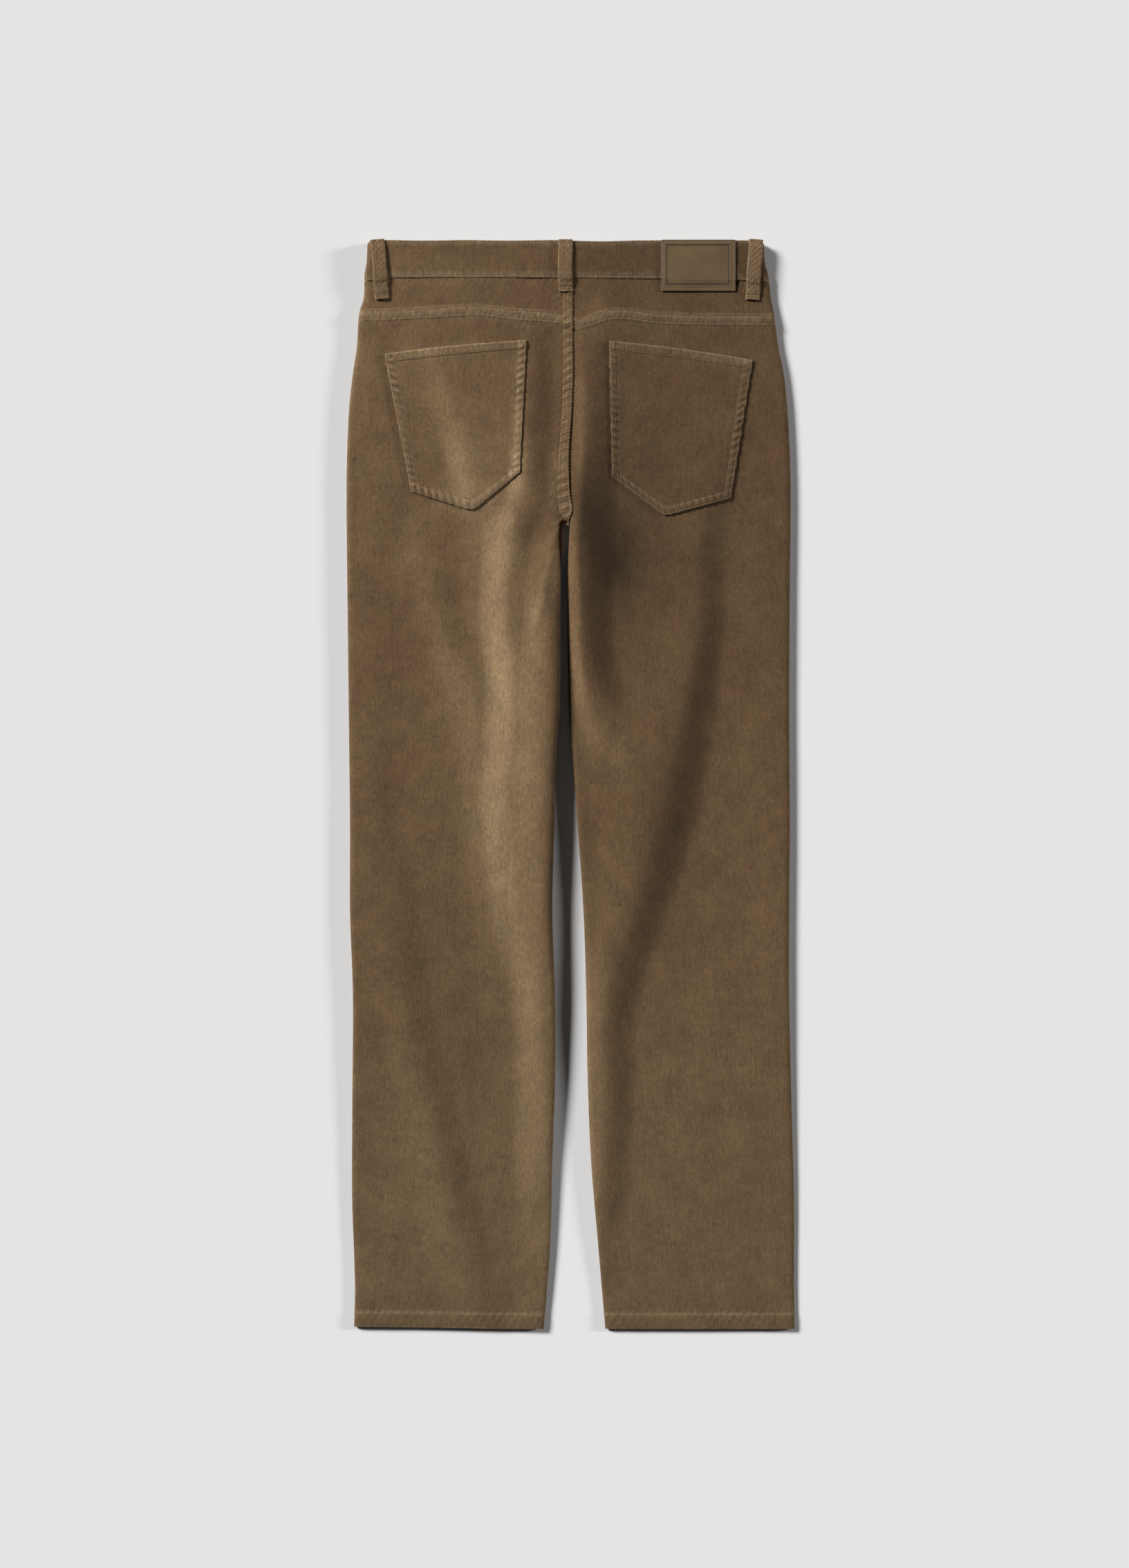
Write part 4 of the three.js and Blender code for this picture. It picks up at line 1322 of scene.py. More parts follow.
def panel_grid(side: Side, rows: Array, seam: tuple, pitch: float, heights: Surface) -> tuple[Array, Array]:
    """Places of a panel's grid between its outer edge and the seat seam or the leg's inner edge.

    Args:
        side: Side of the garment.
        rows: Value of each row.
        seam: Line of the seam above the crotch.
        pitch: Spacing of the columns away from the rolled edges.
        heights: Heights of some points, from their places across and their rows' values.

    Returns:
        The places across, from left to right, and the heights, each rows by columns.
    """
    curl = ROLL * (1 - np.cos(np.radians(np.linspace(0.0, 90.0, 8))))
    flat = steps(0.0, 1.0, pitch / 205.0)[1:-1]
    rows = np.repeat(rows[:, None], 2 * len(curl) + len(flat), axis=1)
    x = np.full(rows.shape, 100.0 * side.value)
    for _ in range(4):
        y = heights(x, rows)
        outer = outer_edge(side, y)
        middle = np.where(y > CROTCH_Y, follow(seam, "y", y, "x"), follow(LEG_GAP, "y", y, "centre"))
        inner = middle + side.value * half_gap(y)
        left, right = (outer, inner) if side is Side.LEFT else (inner, outer)
        count = len(curl)
        x = np.concatenate([
            left[:, :count] + curl,
            left[:, count:-count] + ROLL + (right - left - 2 * ROLL)[:, count:-count] * flat,
            right[:, -count:] - curl[::-1],
        ], axis=1)
    return x, heights(x, rows)


@dataclass
class Yoke(Part):
    """Yoke of one side, between the waistband and the felled seam."""

    side: Side
    thickness: float = 1.7
    column_pitch: float = 1.7

    def surface(self, x: Array, y: Array) -> Array:
        """Points of the yoke's outside over some places.

        Args:
            x: Places across.
            y: Heights in the lay, from hem to waist.

        Returns:
            The points.
        """
        height = back_height(self.side, x, y)
        near_band = waist_seam(x) - y
        height = height + 0.2 * puckers(x + 0.4 * near_band, 7.0, 5.0) * bell(near_band / 7.0)
        return np.stack([x, y, height], axis=-1)

    def heights(self, x: Array, share: Array) -> Array:
        """Heights of some points between the yoke's lower seam and the waistband's."""
        low, high = yoke_seam(x) + SEAM_GAP / 2, waist_seam(x) - SEAM_GAP / 2
        return low + (high - low) * share

    def build(self) -> Piece:
        """Builds and dresses the yoke.

        Returns:
            The yoke.
        """
        share = np.concatenate([steps(0, 0.12, 0.02)[:-1], steps(0.12, 1.0, 0.04)])
        x, y = panel_grid(self.side, share, SEAT_SEAM, self.column_pitch, self.heights)
        low = yoke_seam(x) + SEAM_GAP / 2
        points = self.surface(x, y)
        full = roll_share(np.abs(x - outer_edge(self.side, y)))
        points[..., 2] += 0.75 * smooth((3.0 - (y - low)) / 3.0) * full
        grain = yoke_grain(x, y)
        wear = 0.9 * bell((y - low) / 1.0)
        name = f"back_yoke_{self.side.word}"
        # The yoke's brightness carries painted light and shade.
        yoke = cloth(name, points, grain, self.thickness, wear, painted_light_and_nap_tone(x, y))
        dress(yoke, self.finishes.corduroy, Slot.CORDUROY, name)
        f"front_leg_{self.side.word}"
        return yoke


@dataclass
class SeatSeam(Part):
    """Felled seat seam, drawn up into slanting puckers by its stitches."""

    half_width: float = 5.3
    crown: float = 1.35
    lump: float = 0.55
    pitch: float = 9.3
    notch_pitch: float = 3.3
    stitch_rows: tuple[float, float] = (-0.35, 0.55)
    thickness: float = 0.9

    def lumps(self, across: Array, y: Array) -> Array:
        """Uneven swellings between the stitches, from -1 to 1."""
        slant = y - 2.2 * across
        return (puckers(slant, self.pitch, 0.4) + 0.6 * puckers(slant, self.pitch * 0.41, 2.4)) / 1.6

    def surface(self, across: Array, y: Array) -> Array:
        """Points of the band's outside.

        Args:
            across: Shares from -1 at the left edge to 1 at the right edge.
            y: Heights in the lay, from hem to waist.

        Returns:
            The points.
        """
        half = follow(SEAT_BAND, "y", y, "half") * (0.3 + 0.7 * smooth((y - SEAT_FELL_BOTTOM + 1) / 13))
        notches = 0.35 * np.sin(2 * math.pi * y / self.notch_pitch) * bell((across - 1.0) / 0.3)
        lean = 0.08 * np.sin(y / 9.0) * (1 - across ** 2)
        x = follow(SEAT_BAND, "y", y, "centre") + (across + lean) * half + notches
        seam = seat_seam(y)
        left_side = back_height(Side.LEFT, np.minimum(x, seam), y)
        right_side = back_height(Side.RIGHT, np.maximum(x, seam), y)
        rim = smooth((1 + across) / 0.4) * smooth((1 - across) / 0.14)
        swell = 0.4 + 0.6 * smooth((across + 1) / 1.5)
        full = 0.55 + 0.45 * smooth((458.0 - y) / 50.0)
        first, second = self.stitch_rows
        rows = 0.4 * bell((across - first) / 0.14) + 0.35 * bell((across - second) / 0.12)
        lumps = self.lump * self.lumps(across, y) * bell((across - 0.1) / 0.7) * full
        rise = 0.35 + rim * (self.crown * swell * (0.4 + 0.6 * full) + lumps - rows)
        return np.stack([x, y + 0.0 * across, np.maximum(left_side, right_side) + rise], axis=-1)

    def build(self) -> Piece:
        """Builds and dresses the band.

        Returns:
            The band.
        """
        y = steps(SEAT_FELL_BOTTOM - 4, SEAT_FELL_TOP + 4, 0.75)[:, None]
        across, y = np.broadcast_arrays(np.linspace(-1.0, 1.0, 27)[None, :], y)
        points = self.surface(across, y)
        grain = 0.71 * np.stack([across * self.half_width - y, across * self.half_width + y], axis=-1)
        wear = 0.22 + 0.42 * self.lumps(across, y) * bell((across + 0.1) / 0.6)
        # Painted light and shade on the band: paler overall, a little darker towards its right side, painted
        # shade along its right edge and painted highlights on its swellings.
        nap_and_painted_light = 1.2 - 0.08 * across - 0.4 * bell((across - 1.0) / 0.2) + 0.24 * self.lumps(across, y)
        band = cloth("seat_seam", points, grain, self.thickness, wear, nap_and_painted_light)
        dress(band, self.finishes.corduroy, Slot.CORDUROY, "seat_seam")
        return band

    def sew(self, needle: Needle) -> None:
        """Sews the seam's two rows.

        Args:
            needle: Needle that sews them.
        """
        y = np.linspace(SEAT_FELL_BOTTOM + 4, SEAT_FELL_TOP, 700)
        for across in self.stitch_rows:
            needle.run(self.surface, np.full_like(y, across), y)


@dataclass
class FrontLeg(Part):
    """Front panel of one leg, with the scoop of its pocket filled by a hip facing. It lies underneath."""

    side: Side
    thickness: float = 1.7
    top_row: float = 496.0
    lift_from: float = 440.0
    lift_over: float = 56.0
    scoop: tuple[float, float] = (96.0, 84.0)
    clearance: float = 0.3

    def points(self) -> Array:
        """Points of the panel's outside.

        Returns:
            The points, rows by columns by 3.
        """
        rows = np.concatenate([
            steps(HEM_Y, 232, 8.0)[:-1], steps(232, 252, 2.5)[:-1], steps(252, 266, 1.0)[:-1],
            steps(266, 460, 6.0)[:-1], steps(460, self.top_row, 3.0),
        ])
        x, y = panel_grid(self.side, rows, FLY_SEAM, 4.5, self.heights)
        return np.stack([x, y, front_height(self.side, x, y)], axis=-1)

    def heights(self, x: Array, rows: Array) -> Array:
        """Heights of some points: the top row follows the waistband and the lowest one the hem."""
        lift = waist_seam(x) - self.top_row - SEAM_GAP / 2
        return rows + lift * smooth((rows - self.lift_from) / self.lift_over) + hem_shift(x, rows)

    def cutter(self, growth: float) -> Piece:
        """Upright elliptic cylinder at the corner of the waist seam and the side seam.

        Args:
            growth: How much larger than the scoop it is, in millimetres.

        Returns:
            The cutter.
        """
        corner = float(outer_edge(self.side, 494.0))
        deselect()
        bpy.ops.mesh.primitive_cylinder_add(
            vertices=96, radius=1.0, depth=60 * MM,
            location=(corner * MM, float(waist_seam(corner)) * MM, 0.0),
            scale=((self.scoop[0] + growth) * MM, (self.scoop[1] + growth) * MM, 1.0),
        )
        return bpy.context.object

    def build(self) -> tuple[Piece, Piece]:
        """Builds and dresses the panel and its hip facing.

        Returns:
            The panel and the facing.
        """
        points = self.points()
        name, facing_name = f"front_leg_{self.side.word}", f"hip_facing_{self.side.word}"
        panel = cloth(name, points, points[..., :2], self.thickness, flip=True)
        pick(panel)
        bpy.ops.object.duplicate()
        facing = bpy.context.object
        facing.name = facing.data.name = facing_name
        for piece, operation, growth in ((panel, "DIFFERENCE", self.clearance), (facing, "INTERSECT", 0.0)):
            tool = self.cutter(growth)
            apply_modifier(piece, "BOOLEAN", operation=operation, object=tool, solver="EXACT")
            bpy.data.objects.remove(tool)
            piece.data.attributes["nap_and_painted_light"].data.foreach_set("value", np.ones(len(piece.data.vertices)))
            round_off(piece)
        dress(panel, self.finishes.corduroy, Slot.CORDUROY, name)
        dress(facing, self.finishes.corduroy, Slot.CORDUROY, facing_name)
        width, length = (edge * MM * 1.05 for edge in self.scoop)
        return panel, facing


@dataclass
class Pocket(Part):
    """Patch pocket with a turned hem and two rows of stitches round its edge."""

    side: Side
    upper_left: Knot
    upper_right: Knot
    lower_right: Knot
    tip: Knot
    lower_left: Knot
    seed: float
    rough_width: float = 141.0
    rough_height: float = 165.0
    bow: float = 1.6
    hem: float = 10.0
    inset: float = 8.6
    pucker_pitch: float = 7.4
    cloth_rise: float = 1.75
    lean: float = 0.06
    tack: float = 3.4
    thickness: float = 1.1

    def place(self, s: Array, t: Array) -> tuple[Array, Array]:
        """Place of a point of the pocket.

        Args:
            s: Share of the way from the left edge to the right.
            t: Share of the way from the hem down.

        Returns:
            The place across and the height in the lay.
        """
        tip_share = (self.tip.x - self.lower_left.x) / (self.lower_right.x - self.lower_left.x)
        base_y = self.lower_left.y + (self.lower_right.y - self.lower_left.y) * tip_share
        drop = base_y - self.tip.y
        left_x = self.upper_left.x + (self.lower_left.x - self.upper_left.x) * t
        left_y = self.upper_left.y + (self.lower_left.y - self.upper_left.y) * t
        right_x = self.upper_right.x + (self.lower_right.x - self.upper_right.x) * t
        right_y = self.upper_right.y + (self.lower_right.y - self.upper_right.y) * t
        ramp = np.where(s < tip_share, s / tip_share, (1 - s) / (1 - tip_share))
        point = drop * (ramp - 0.035 * bell((s - tip_share) / 0.03)) * smooth(t)
        lift = self.bow * 4 * s * (1 - s) * (1 - t)
        wobble = 0.35 * puckers(160 * t, 17.0, self.seed)
        x = left_x + (right_x - left_x) * s + wobble * ((1 - s) ** 8 - s ** 8)
        y = left_y + (right_y - left_y) * s - point + lift
        return x, y

    def border(self, s: Array, t: Array, x: Array, y: Array) -> tuple[Array, Array, Array]:
        """Distances from the pocket's edges, and the puckers along them.

        Args:
            s: Share of the way from the left edge to the right.
            t: Share of the way from the hem down.
            x: Places across.
            y: Heights in the lay, from hem to waist.

        Returns:
            Distance from the hem, distance from the nearest other edge, and puckers from -1 to 1.
        """
        width = self.upper_right.x - self.upper_left.x
        height = (self.upper_left.y + self.upper_right.y - self.lower_left.y - self.lower_right.y) / 2 + 20
        aside, lower = np.minimum(s * width, (1 - s) * width), (1 - t) * height * 0.86
        near = np.minimum(aside, lower)
        along = np.where(aside < lower, y, x)
        return t * height, near, puckers(along + 0.35 * near, self.pucker_pitch, self.seed)

    def surface(self, s: Array, t: Array) -> Array:
        """Points of the pocket's outside.

        Args:
            s: Share of the way from the left edge to the right.
            t: Share of the way from the hem down.

        Returns:
            The points.
        """
        x, y = self.place(s, t)
        upper, near, swelling = self.border(s, t, x, y)
        rise = 0.35 + self.cloth_rise * smooth(np.minimum(near, upper) / 1.3)
        turned = 0.55 * smooth((self.inset + 1.2 - near) / 2.0)
        turned += 0.5 * smooth((self.hem + 1.0 - upper) / 1.8)
        rows = 0.5 * bell((near - 1.9) / 0.8) + 0.55 * bell((near - self.inset) / 0.9)
        rows = rows + 0.6 * bell((upper - self.hem) / 0.9)
        ruffle = 0.7 * swelling * bell((near - self.inset * 0.55) / (self.inset * 0.45))
        sag = -0.35 * bell((upper - 30.0) / 40.0) * smooth(near / 30.0)
        under = back_height(self.side, x, y)
        return np.stack([x, y, under + rise + turned - rows + ruffle + sag], axis=-1)

    def spacing(self, count: int, rim: float) -> Array:
        """Shares from 0 to 1 that are closer together at both ends."""
        ends = np.array([0.0, 0.25, 0.6, 1.0, 1.6, 2.3, 3.2]) * rim
        return np.concatenate([ends, np.linspace(ends[-1], 1 - ends[-1], count)[1:-1], (1 - ends)[::-1]])

    def build(self) -> Piece:
        """Builds and dresses the pocket.

        Returns:
            The pocket.
        """
        t, s = np.meshgrid(self.spacing(116, 1 / 150), self.spacing(100, 1 / self.rough_width), indexing="ij")
        t, s = t[::-1], s[::-1]
        points = self.surface(s, t)
        x, y = points[..., 0], points[..., 1]
        grain = np.stack([x - self.side.value * self.lean * y, y], axis=-1)
        upper, near, swelling = self.border(s, t, x, y)
        wear = 0.9 * bell(np.minimum(near, upper) / 1.3) + 0.5 * smooth((self.hem - upper) / 2.0)
        wear += (0.35 + 0.5 * swelling) * bell((near - 5.2) / 4.2)
        name = f"back_pocket_{self.side.word}"
        # The pocket's brightness carries painted light and shade.
        pocket = cloth(name, points, grain, self.thickness, wear, painted_light_and_nap_tone(x, y))
        dress(pocket, self.finishes.corduroy, Slot.CORDUROY, name)
        f"back_leg_{self.side.word}"
        return pocket

    def sew(self, needle: Needle) -> None:
        """Sews the edge's two rows and the row of the hem.

        Args:
            needle: Needle that sews them.
        """
        for inset in (1.9, self.inset):
            a, b = inset / self.rough_width, inset / self.rough_height * 1.1
            run = np.linspace(0.004, 1 - b, 200)
            needle.run(self.surface, np.full_like(run, a), run)
            needle.run(self.surface, np.full_like(run, 1 - a), run)
            run = np.linspace(a, 1 - a, 200)
            needle.run(self.surface, run, np.full_like(run, 1 - b))
        width, height = self.rough_width, self.rough_height
        run = np.linspace(self.inset / width, 1 - self.inset / width, 200)
        needle.run(self.surface, run, np.full_like(run, self.hem / height))
        tack = self.tack / width
        for end in (0.012, 1 - 0.012 - tack):
            needle.tack(self.surface, (end, end + tack), (0.03, 0.03), 4.0 / height, width)


@dataclass
class Waistband(Part):
    """Waistband: one strip round the waist, turned in and stitched along both edges."""

    thickness: float = 2.0
    stitch_inset: float = 2.2
    corner: float = 4.5
    lap_step: float = 0.7
    back_from: float = 5.0
    cut_width: float = 0.0415

    def stations(self, y: float) -> tuple[Array, Array, Array]:
        """Stations of the strip at one height, from the buttonhole end round the back to the button end.

        Args:
            y: Height of the row.

        Returns:
            Places across, heights, and directions out of the cloth as an angle in radians.
        """
        centre = FLY_SEAM[0].x
        near_top = min(max(1 - (WAIST_Y - y) / self.corner, 0.0), 1.0)
        rounding = self.corner * (1 - math.sqrt(1 - near_top ** 2))
        left = float(outer_edge(Side.LEFT, y)) + rounding
        right = float(outer_edge(Side.RIGHT, y)) - rounding
        up = math.pi / 2
        first = np.linspace(centre + BAND_LAP, left + ROLL, 60)[:-1]
        turn = np.linspace(-up, up, 17)
        back = np.linspace(left + ROLL, right - ROLL, 260)[1:-1]
        last = np.linspace(right - ROLL, centre - BAND_UNDERLAP, 60)[1:]
        over_lap = smooth((centre + BAND_STEP[1] - last) / (BAND_STEP[1] - BAND_STEP[0]))
        x = np.concatenate([
            first, left + ROLL * (1 - np.cos(turn)), back, right - ROLL * (1 - np.cos(turn)), last,
        ])
        z = np.concatenate([
            np.full_like(first, BAND_REST), BAND_MIDDLE + BAND_SWING * np.sin(turn),
            np.full_like(back, BAND_TOP), BAND_MIDDLE - BAND_SWING * np.sin(turn),
            BAND_REST + (self.thickness + self.lap_step) * over_lap,
        ])
        out = np.concatenate([
            np.full_like(first, -up), math.pi - turn, np.full_like(back, up), -turn, np.full_like(last, -up),
        ])
        return x, z, out

    def relief(self, x: Array, y: Array, turned: Array) -> Array:
        """Relief of the strip's outside: turned edges, stitch rows and puckers.

        Args:
            x: Places across.
            y: Heights in the lay, from hem to waist.
            turned: How far each point is turned to the back, from 0 to 1.

        Returns:
            The relief in millimetres.
        """
        below_top, above_seam = top_line(x) - y, y - waist_seam(x)
        near = np.minimum(below_top, above_seam)
        rim = -0.9 * (1 - smooth(near / 1.5)) ** 2
        rows = -0.45 * bell((near - self.stitch_inset) / 0.8)
        drawn = bell((above_seam - 6) / 7) + 0.5 * bell((below_top - 5) / 6)
        ripple = 0.26 * puckers(x + 0.5 * y, 9.0, 1.7) * drawn
        waves = 0.22 * np.sin(x / 17.0 + 0.6) * np.sin(y / 9.0) + 0.15 * np.sin(x / 6.3 + y / 11.0)
        return rim + rows + turned * (ripple + waves)

    def build(self) -> Piece:
        """Builds and dresses the strip.

        Returns:
            The strip.
        """
        seam, top = [0, 0.012, 0.03, 0.05, 0.075], [0.925, 0.95, 0.97, 0.988, 1]
        base = float(waist_seam(0.0))
        grid, grain = [], []
        for share in np.concatenate([seam, steps(0.1, 0.9, 0.034), top]):
            x, z, out = self.stations(base + (WAIST_Y - base) * share)
            low = waist_seam(x) + SEAM_GAP / 2
            y = low + (top_line(x) - low) * share
            on_back = np.clip(np.sin(out), 0, 1)
            lift = self.relief(x, y, on_back)
            grid.append(np.stack([x + np.cos(out) * lift, y, z + np.sin(out) * lift], axis=-1))
            travelled = np.concatenate([[0], np.cumsum(np.hypot(np.diff(x), np.diff(z)))])
            middle = travelled[np.argmin(np.abs(x) + 1000.0 * (on_back < 0.5))]
            grain.append(np.stack([travelled - middle, y], axis=-1))
        points, grain = np.array(grid), np.array(grain)
        x, y, z = (points[..., i] for i in range(3))
        above_seam = y - waist_seam(x)
        edge = np.minimum(top_line(x) - y, above_seam)
        wear = 0.8 * bell(edge / 1.3) + 0.35 * bell((edge - 3.0) / 2.0)
        wear += 0.35 * smooth((9.0 - above_seam) / 4.0)
        # The back half takes the panels' painted light and shade.
        nap_and_painted_light = np.where(z > self.back_from, 0.95 * painted_light_and_nap_tone(x, y), 1.0)
        band = cloth("waistband", points, grain, self.thickness, wear, nap_and_painted_light)
        dress(band, self.finishes.band, Slot.CORDUROY, "waistband")
        return band

    def surface(self, x: Array, y: Array) -> Array:
        """Points of the back half's outside over some places."""
        share = roll_share(inside_sides(x, y))
        return np.stack([x, y, BAND_MIDDLE + BAND_SWING * share + self.relief(x, y, share) * share], axis=-1)

    def sew(self, needle: Needle) -> None:
        """Sews the rows along both edges of the back.

        Args:
            needle: Needle that sews them.
        """
        left, right = float(outer_edge(Side.LEFT, 500.0)) + 3, float(outer_edge(Side.RIGHT, 530.0)) - 1
        x = np.linspace(left, right, 500)
        needle.run(self.surface, x, waist_seam(x) + self.stitch_inset)
        needle.run(self.surface, x[4:], top_line(x[4:]) - self.stitch_inset)


def over_band(x: Array, y: Array) -> Array:
    """Height of the waistband's outside and, below its lower edge, of the yoke's."""
    seam = waist_seam(x)
    return LAY_HEIGHT + (BAND_TOP - LAY_HEIGHT) * smooth((y - seam + 4.2) / 4.0)


@dataclass
class BeltLoop(Part):
    """Belt loop on the back: a folded strip, tacked at the waistband's top and below it."""

    name: str
    top_x: float
    bottom_x: float
    bottom_y: float
    width: float = 14.0
    thickness: float = 1.2
    bulge: float = 1.5
    top_inset: float = 0.6
    stitch_at: float = 4.6
    tack_insets: tuple[float, float] = (3.4, 3.6)

    @property
    def length(self) -> float:
        """Length of the loop as it lies."""
        return math.hypot(self.top_x - self.bottom_x, WAIST_Y - self.top_inset - self.bottom_y)

    def surface(self, across: Array, along: Array) -> Array:
        """Points of the loop's outside.

        Args:
            across: Places across in millimetres, 0 in the middle.
            along: Distances from the loop's top in millimetres.

        Returns:
            The points.
        """
        tilt = math.atan2(self.bottom_x - self.top_x, WAIST_Y - self.top_inset - self.bottom_y)
        waver = 0.3 * np.sin(along / 7.0 + self.top_x)
        x = self.top_x + (across + waver) * math.cos(tilt) + along * math.sin(tilt)
        y = WAIST_Y - self.top_inset + across * math.sin(tilt) - along * math.cos(tilt)
        ends = smooth(along / 7.0) * smooth((self.length - along) / 9.0)
        edge = self.width / 2 - np.abs(across)
        fold = smooth(edge / 1.4)
        rows = 0.3 * bell((np.abs(across) - self.stitch_at) / 0.7)
        tips = 0.7 * (bell((along - 1.0) / 2.4) + bell((self.length - along - 1.2) / 2.4))
        top_tack, low_tack = self.tack_insets
        tacks = 0.6 * (bell(along - top_tack) + bell(self.length - along - low_tack))
        ripple = 0.18 * puckers(along + across, 6.0, self.top_x)
        crown = 0.35 * (1 - (across / (self.width / 2)) ** 2)
        height = over_band(x, y) + 0.65 + 1.15 * fold + self.bulge * ends + tips - tacks + crown
        drop = 1.5 * (1 - roll_share(inside_sides(x, y)))
        return np.stack([x, y, height - rows + ripple * fold - drop], axis=-1)

    def build(self) -> Piece:
        """Builds and dresses the loop.

        Returns:
            The loop.
        """
        half = self.width / 2
        rims = half - np.array([0.0, 0.35, 0.8, 1.3])
        across = np.concatenate([-rims, np.linspace(-half + 1.9, half - 1.9, 17), rims[::-1]])
        along = steps(0.0, self.length, 0.85)[::-1]
        b, a = np.meshgrid(along, across, indexing="ij")
        points = self.surface(a, b)
        grain = np.stack([a, -b], axis=-1)
        wear = 0.35 + 0.5 * bell(half - np.abs(a)) + 0.4 * (bell(b / 1.5) + bell((self.length - b) / 1.5))
        loop = cloth(self.name, points, grain, self.thickness, wear, 1.14)
        dress(loop, self.finishes.band, Slot.CORDUROY, self.name)
        return loop

    def sew(self, needle: Needle) -> None:
        """Sews the loop's two rows and its bar tacks.

        Args:
            needle: Needle that sews them.
        """
        along = np.linspace(5.0, self.length - 5.0, 120)
        for across in (-self.stitch_at, self.stitch_at):
            needle.run(self.surface, np.full_like(along, across), along)
        half = self.width / 2 - 1.4
        for level in (self.tack_insets[0], self.length - self.tack_insets[1]):
            needle.tack(self.surface, (-half, half), (level, level), 1.5)


@dataclass
class FrontLoop(Part):
    """Belt loop on the front, flat under the garment's weight."""

    name: str
    thickness: float = 1.0

    def build(self) -> Piece:
        """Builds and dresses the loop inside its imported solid.

        Returns:
            The loop.
        """
        low, high = (np.array(corner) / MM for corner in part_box(self.name))
        x, y = np.meshgrid(steps(low[0], high[0], 1.0), steps(low[1], high[1], 1.6))
        edge = Rectangle(low[0], high[0], low[1], high[1]).inset(x, y)
        z = low[2] + 0.5 * (1 - smooth(edge / 1.4)) + 0.06 * np.sin(y / 3.0)
        points = np.stack([x, y, z], axis=-1)
        loop = cloth(self.name, points, points[..., :2], self.thickness, flip=True)
        dress(loop, self.finishes.band, Slot.CORDUROY, self.name)
        return loop


@dataclass
class LabelPatch(Part):
    """Bare patch with a pressed frame, sewn over the waistband's lower edge."""

    outline: Rectangle = Rectangle(88.8, 162.2, 484.6, 535.4)
    pressed: Rectangle = Rectangle(94.5, 155.6, 491.2, 529.9)
    corner: float = 1.6
    pitch: float = 0.42
    rise: float = 1.5
    thickness: float = 1.1
    stitch_inset: float = 2.3

    def surface(self, x: Array, y: Array) -> Array:
        """Points of the patch's outside over some places.

        Args:
            x: Places across.
            y: Heights in the lay, from hem to waist.

        Returns:
            The points.
        """
        edge, inside = self.outline.inset(x, y), self.pressed.inset(x, y)
        groove = 0.4 * bell(inside / 0.55) + 0.16 * smooth(inside / 0.8)
        stitched = 0.2 * bell((edge - self.stitch_inset) / 0.7)
        rim = 0.7 * (1 - smooth(edge / 0.9)) ** 2
        settle = LAY_HEIGHT + (BAND_TOP - LAY_HEIGHT) * smooth((y - self.outline.bottom - 1.5) / 12.0)
        waves = 0.12 * np.sin(x / 13.0) * np.sin(y / 11.0 + 1.0)
        height = np.maximum(settle, over_band(x, y)) + 0.3 + self.rise - groove - stitched - rim + waves
        return np.stack([x, y, height], axis=-1)

    def places(self) -> tuple[Array, Array]:
        """Places of the patch's grid, drawn in at its four rounded corners.

        Returns:
            The places across, and the heights in the lay.
        """
        left, right, bottom, top = self.outline
        x, y = np.meshgrid(steps(left, right, self.pitch), steps(bottom, top, self.pitch))
        for sign_x, edge_x in ((1, left), (-1, right)):
            for sign_y, edge_y in ((1, bottom), (-1, top)):
                a, b = self.corner - sign_x * (x - edge_x), self.corner - sign_y * (y - edge_y)
                inside = (a > 0) & (b > 0)
                reach = np.where(inside, np.hypot(a, b) / np.maximum(np.maximum(a, b), 1e-9), 1.0)
                x = np.where(inside, edge_x + sign_x * (self.corner - a / reach), x)
                y = np.where(inside, edge_y + sign_y * (self.corner - b / reach), y)
        return x, y

    def build(self) -> Piece:
        """Builds and dresses the patch.

        Returns:
            The patch.
        """
        x, y = self.places()
        points = self.surface(x, y)
        rim = 0.7 * (1 - smooth(self.outline.inset(x, y) / 1.3))
        wear = np.maximum(bell(self.pressed.inset(x, y) / 0.9), rim)
        patch = cloth("label_patch", points, points[..., :2], self.thickness, wear)
        dress(patch, self.finishes.leather, Slot.LEATHER, "label_patch")
        return patch

    def sew(self, needle: Needle) -> None:
        """Sews the patch's border.

        Args:
            needle: Needle that sews it.
        """
        low_x, high_x = self.outline.left + self.stitch_inset, self.outline.right - self.stitch_inset
        low_y, high_y = self.outline.bottom + self.stitch_inset, self.outline.top - self.stitch_inset
        across, up = np.linspace(low_x, high_x, 150), np.linspace(low_y, high_y, 110)
        for level in (low_y, high_y):
            needle.run(self.surface, across, np.full_like(across, level))
        for place in (low_x, high_x):
            needle.run(self.surface, np.full_like(up, place), up)


@dataclass
class WaistbandButton(Part):
    """Plain metal button under the front of the waistband."""

    rim: float = 0.16
    dish: float = 0.35
    lip: float = 0.02

    def build(self) -> Piece:
        """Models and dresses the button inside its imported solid.

        Returns:
            The button.
        """
        low, high = (Vector(corner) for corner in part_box("waistband_button"))
        centre, size = (low + high) / 2, high - low
        deselect()
        bpy.ops.mesh.primitive_cylinder_add(vertices=64, radius=size.x / 2, depth=size.z, location=centre)
        button = bpy.context.object
        button.name = button.data.name = "waistband_button"
        bpy.ops.object.transform_apply(location=True, rotation=False, scale=False)
        pick_faces(button, lambda face: face.normal.z < -0.9)
        bpy.ops.mesh.inset(thickness=size.x * self.rim)
        bpy.ops.mesh.extrude_region_move(TRANSFORM_OT_translate={"value": (0.0, 0.0, size.z * self.dish)})
        bpy.ops.mesh.inset(thickness=size.x * self.lip)
        bpy.ops.object.mode_set(mode="OBJECT")
        apply_modifier(button, "BEVEL", width=0.22 * MM, segments=3, limit_method="ANGLE")
        bpy.ops.object.shade_smooth_by_angle(angle=math.radians(40))
        dress(button, self.finishes.brass, Slot.METAL, "waistband_button")
        return button


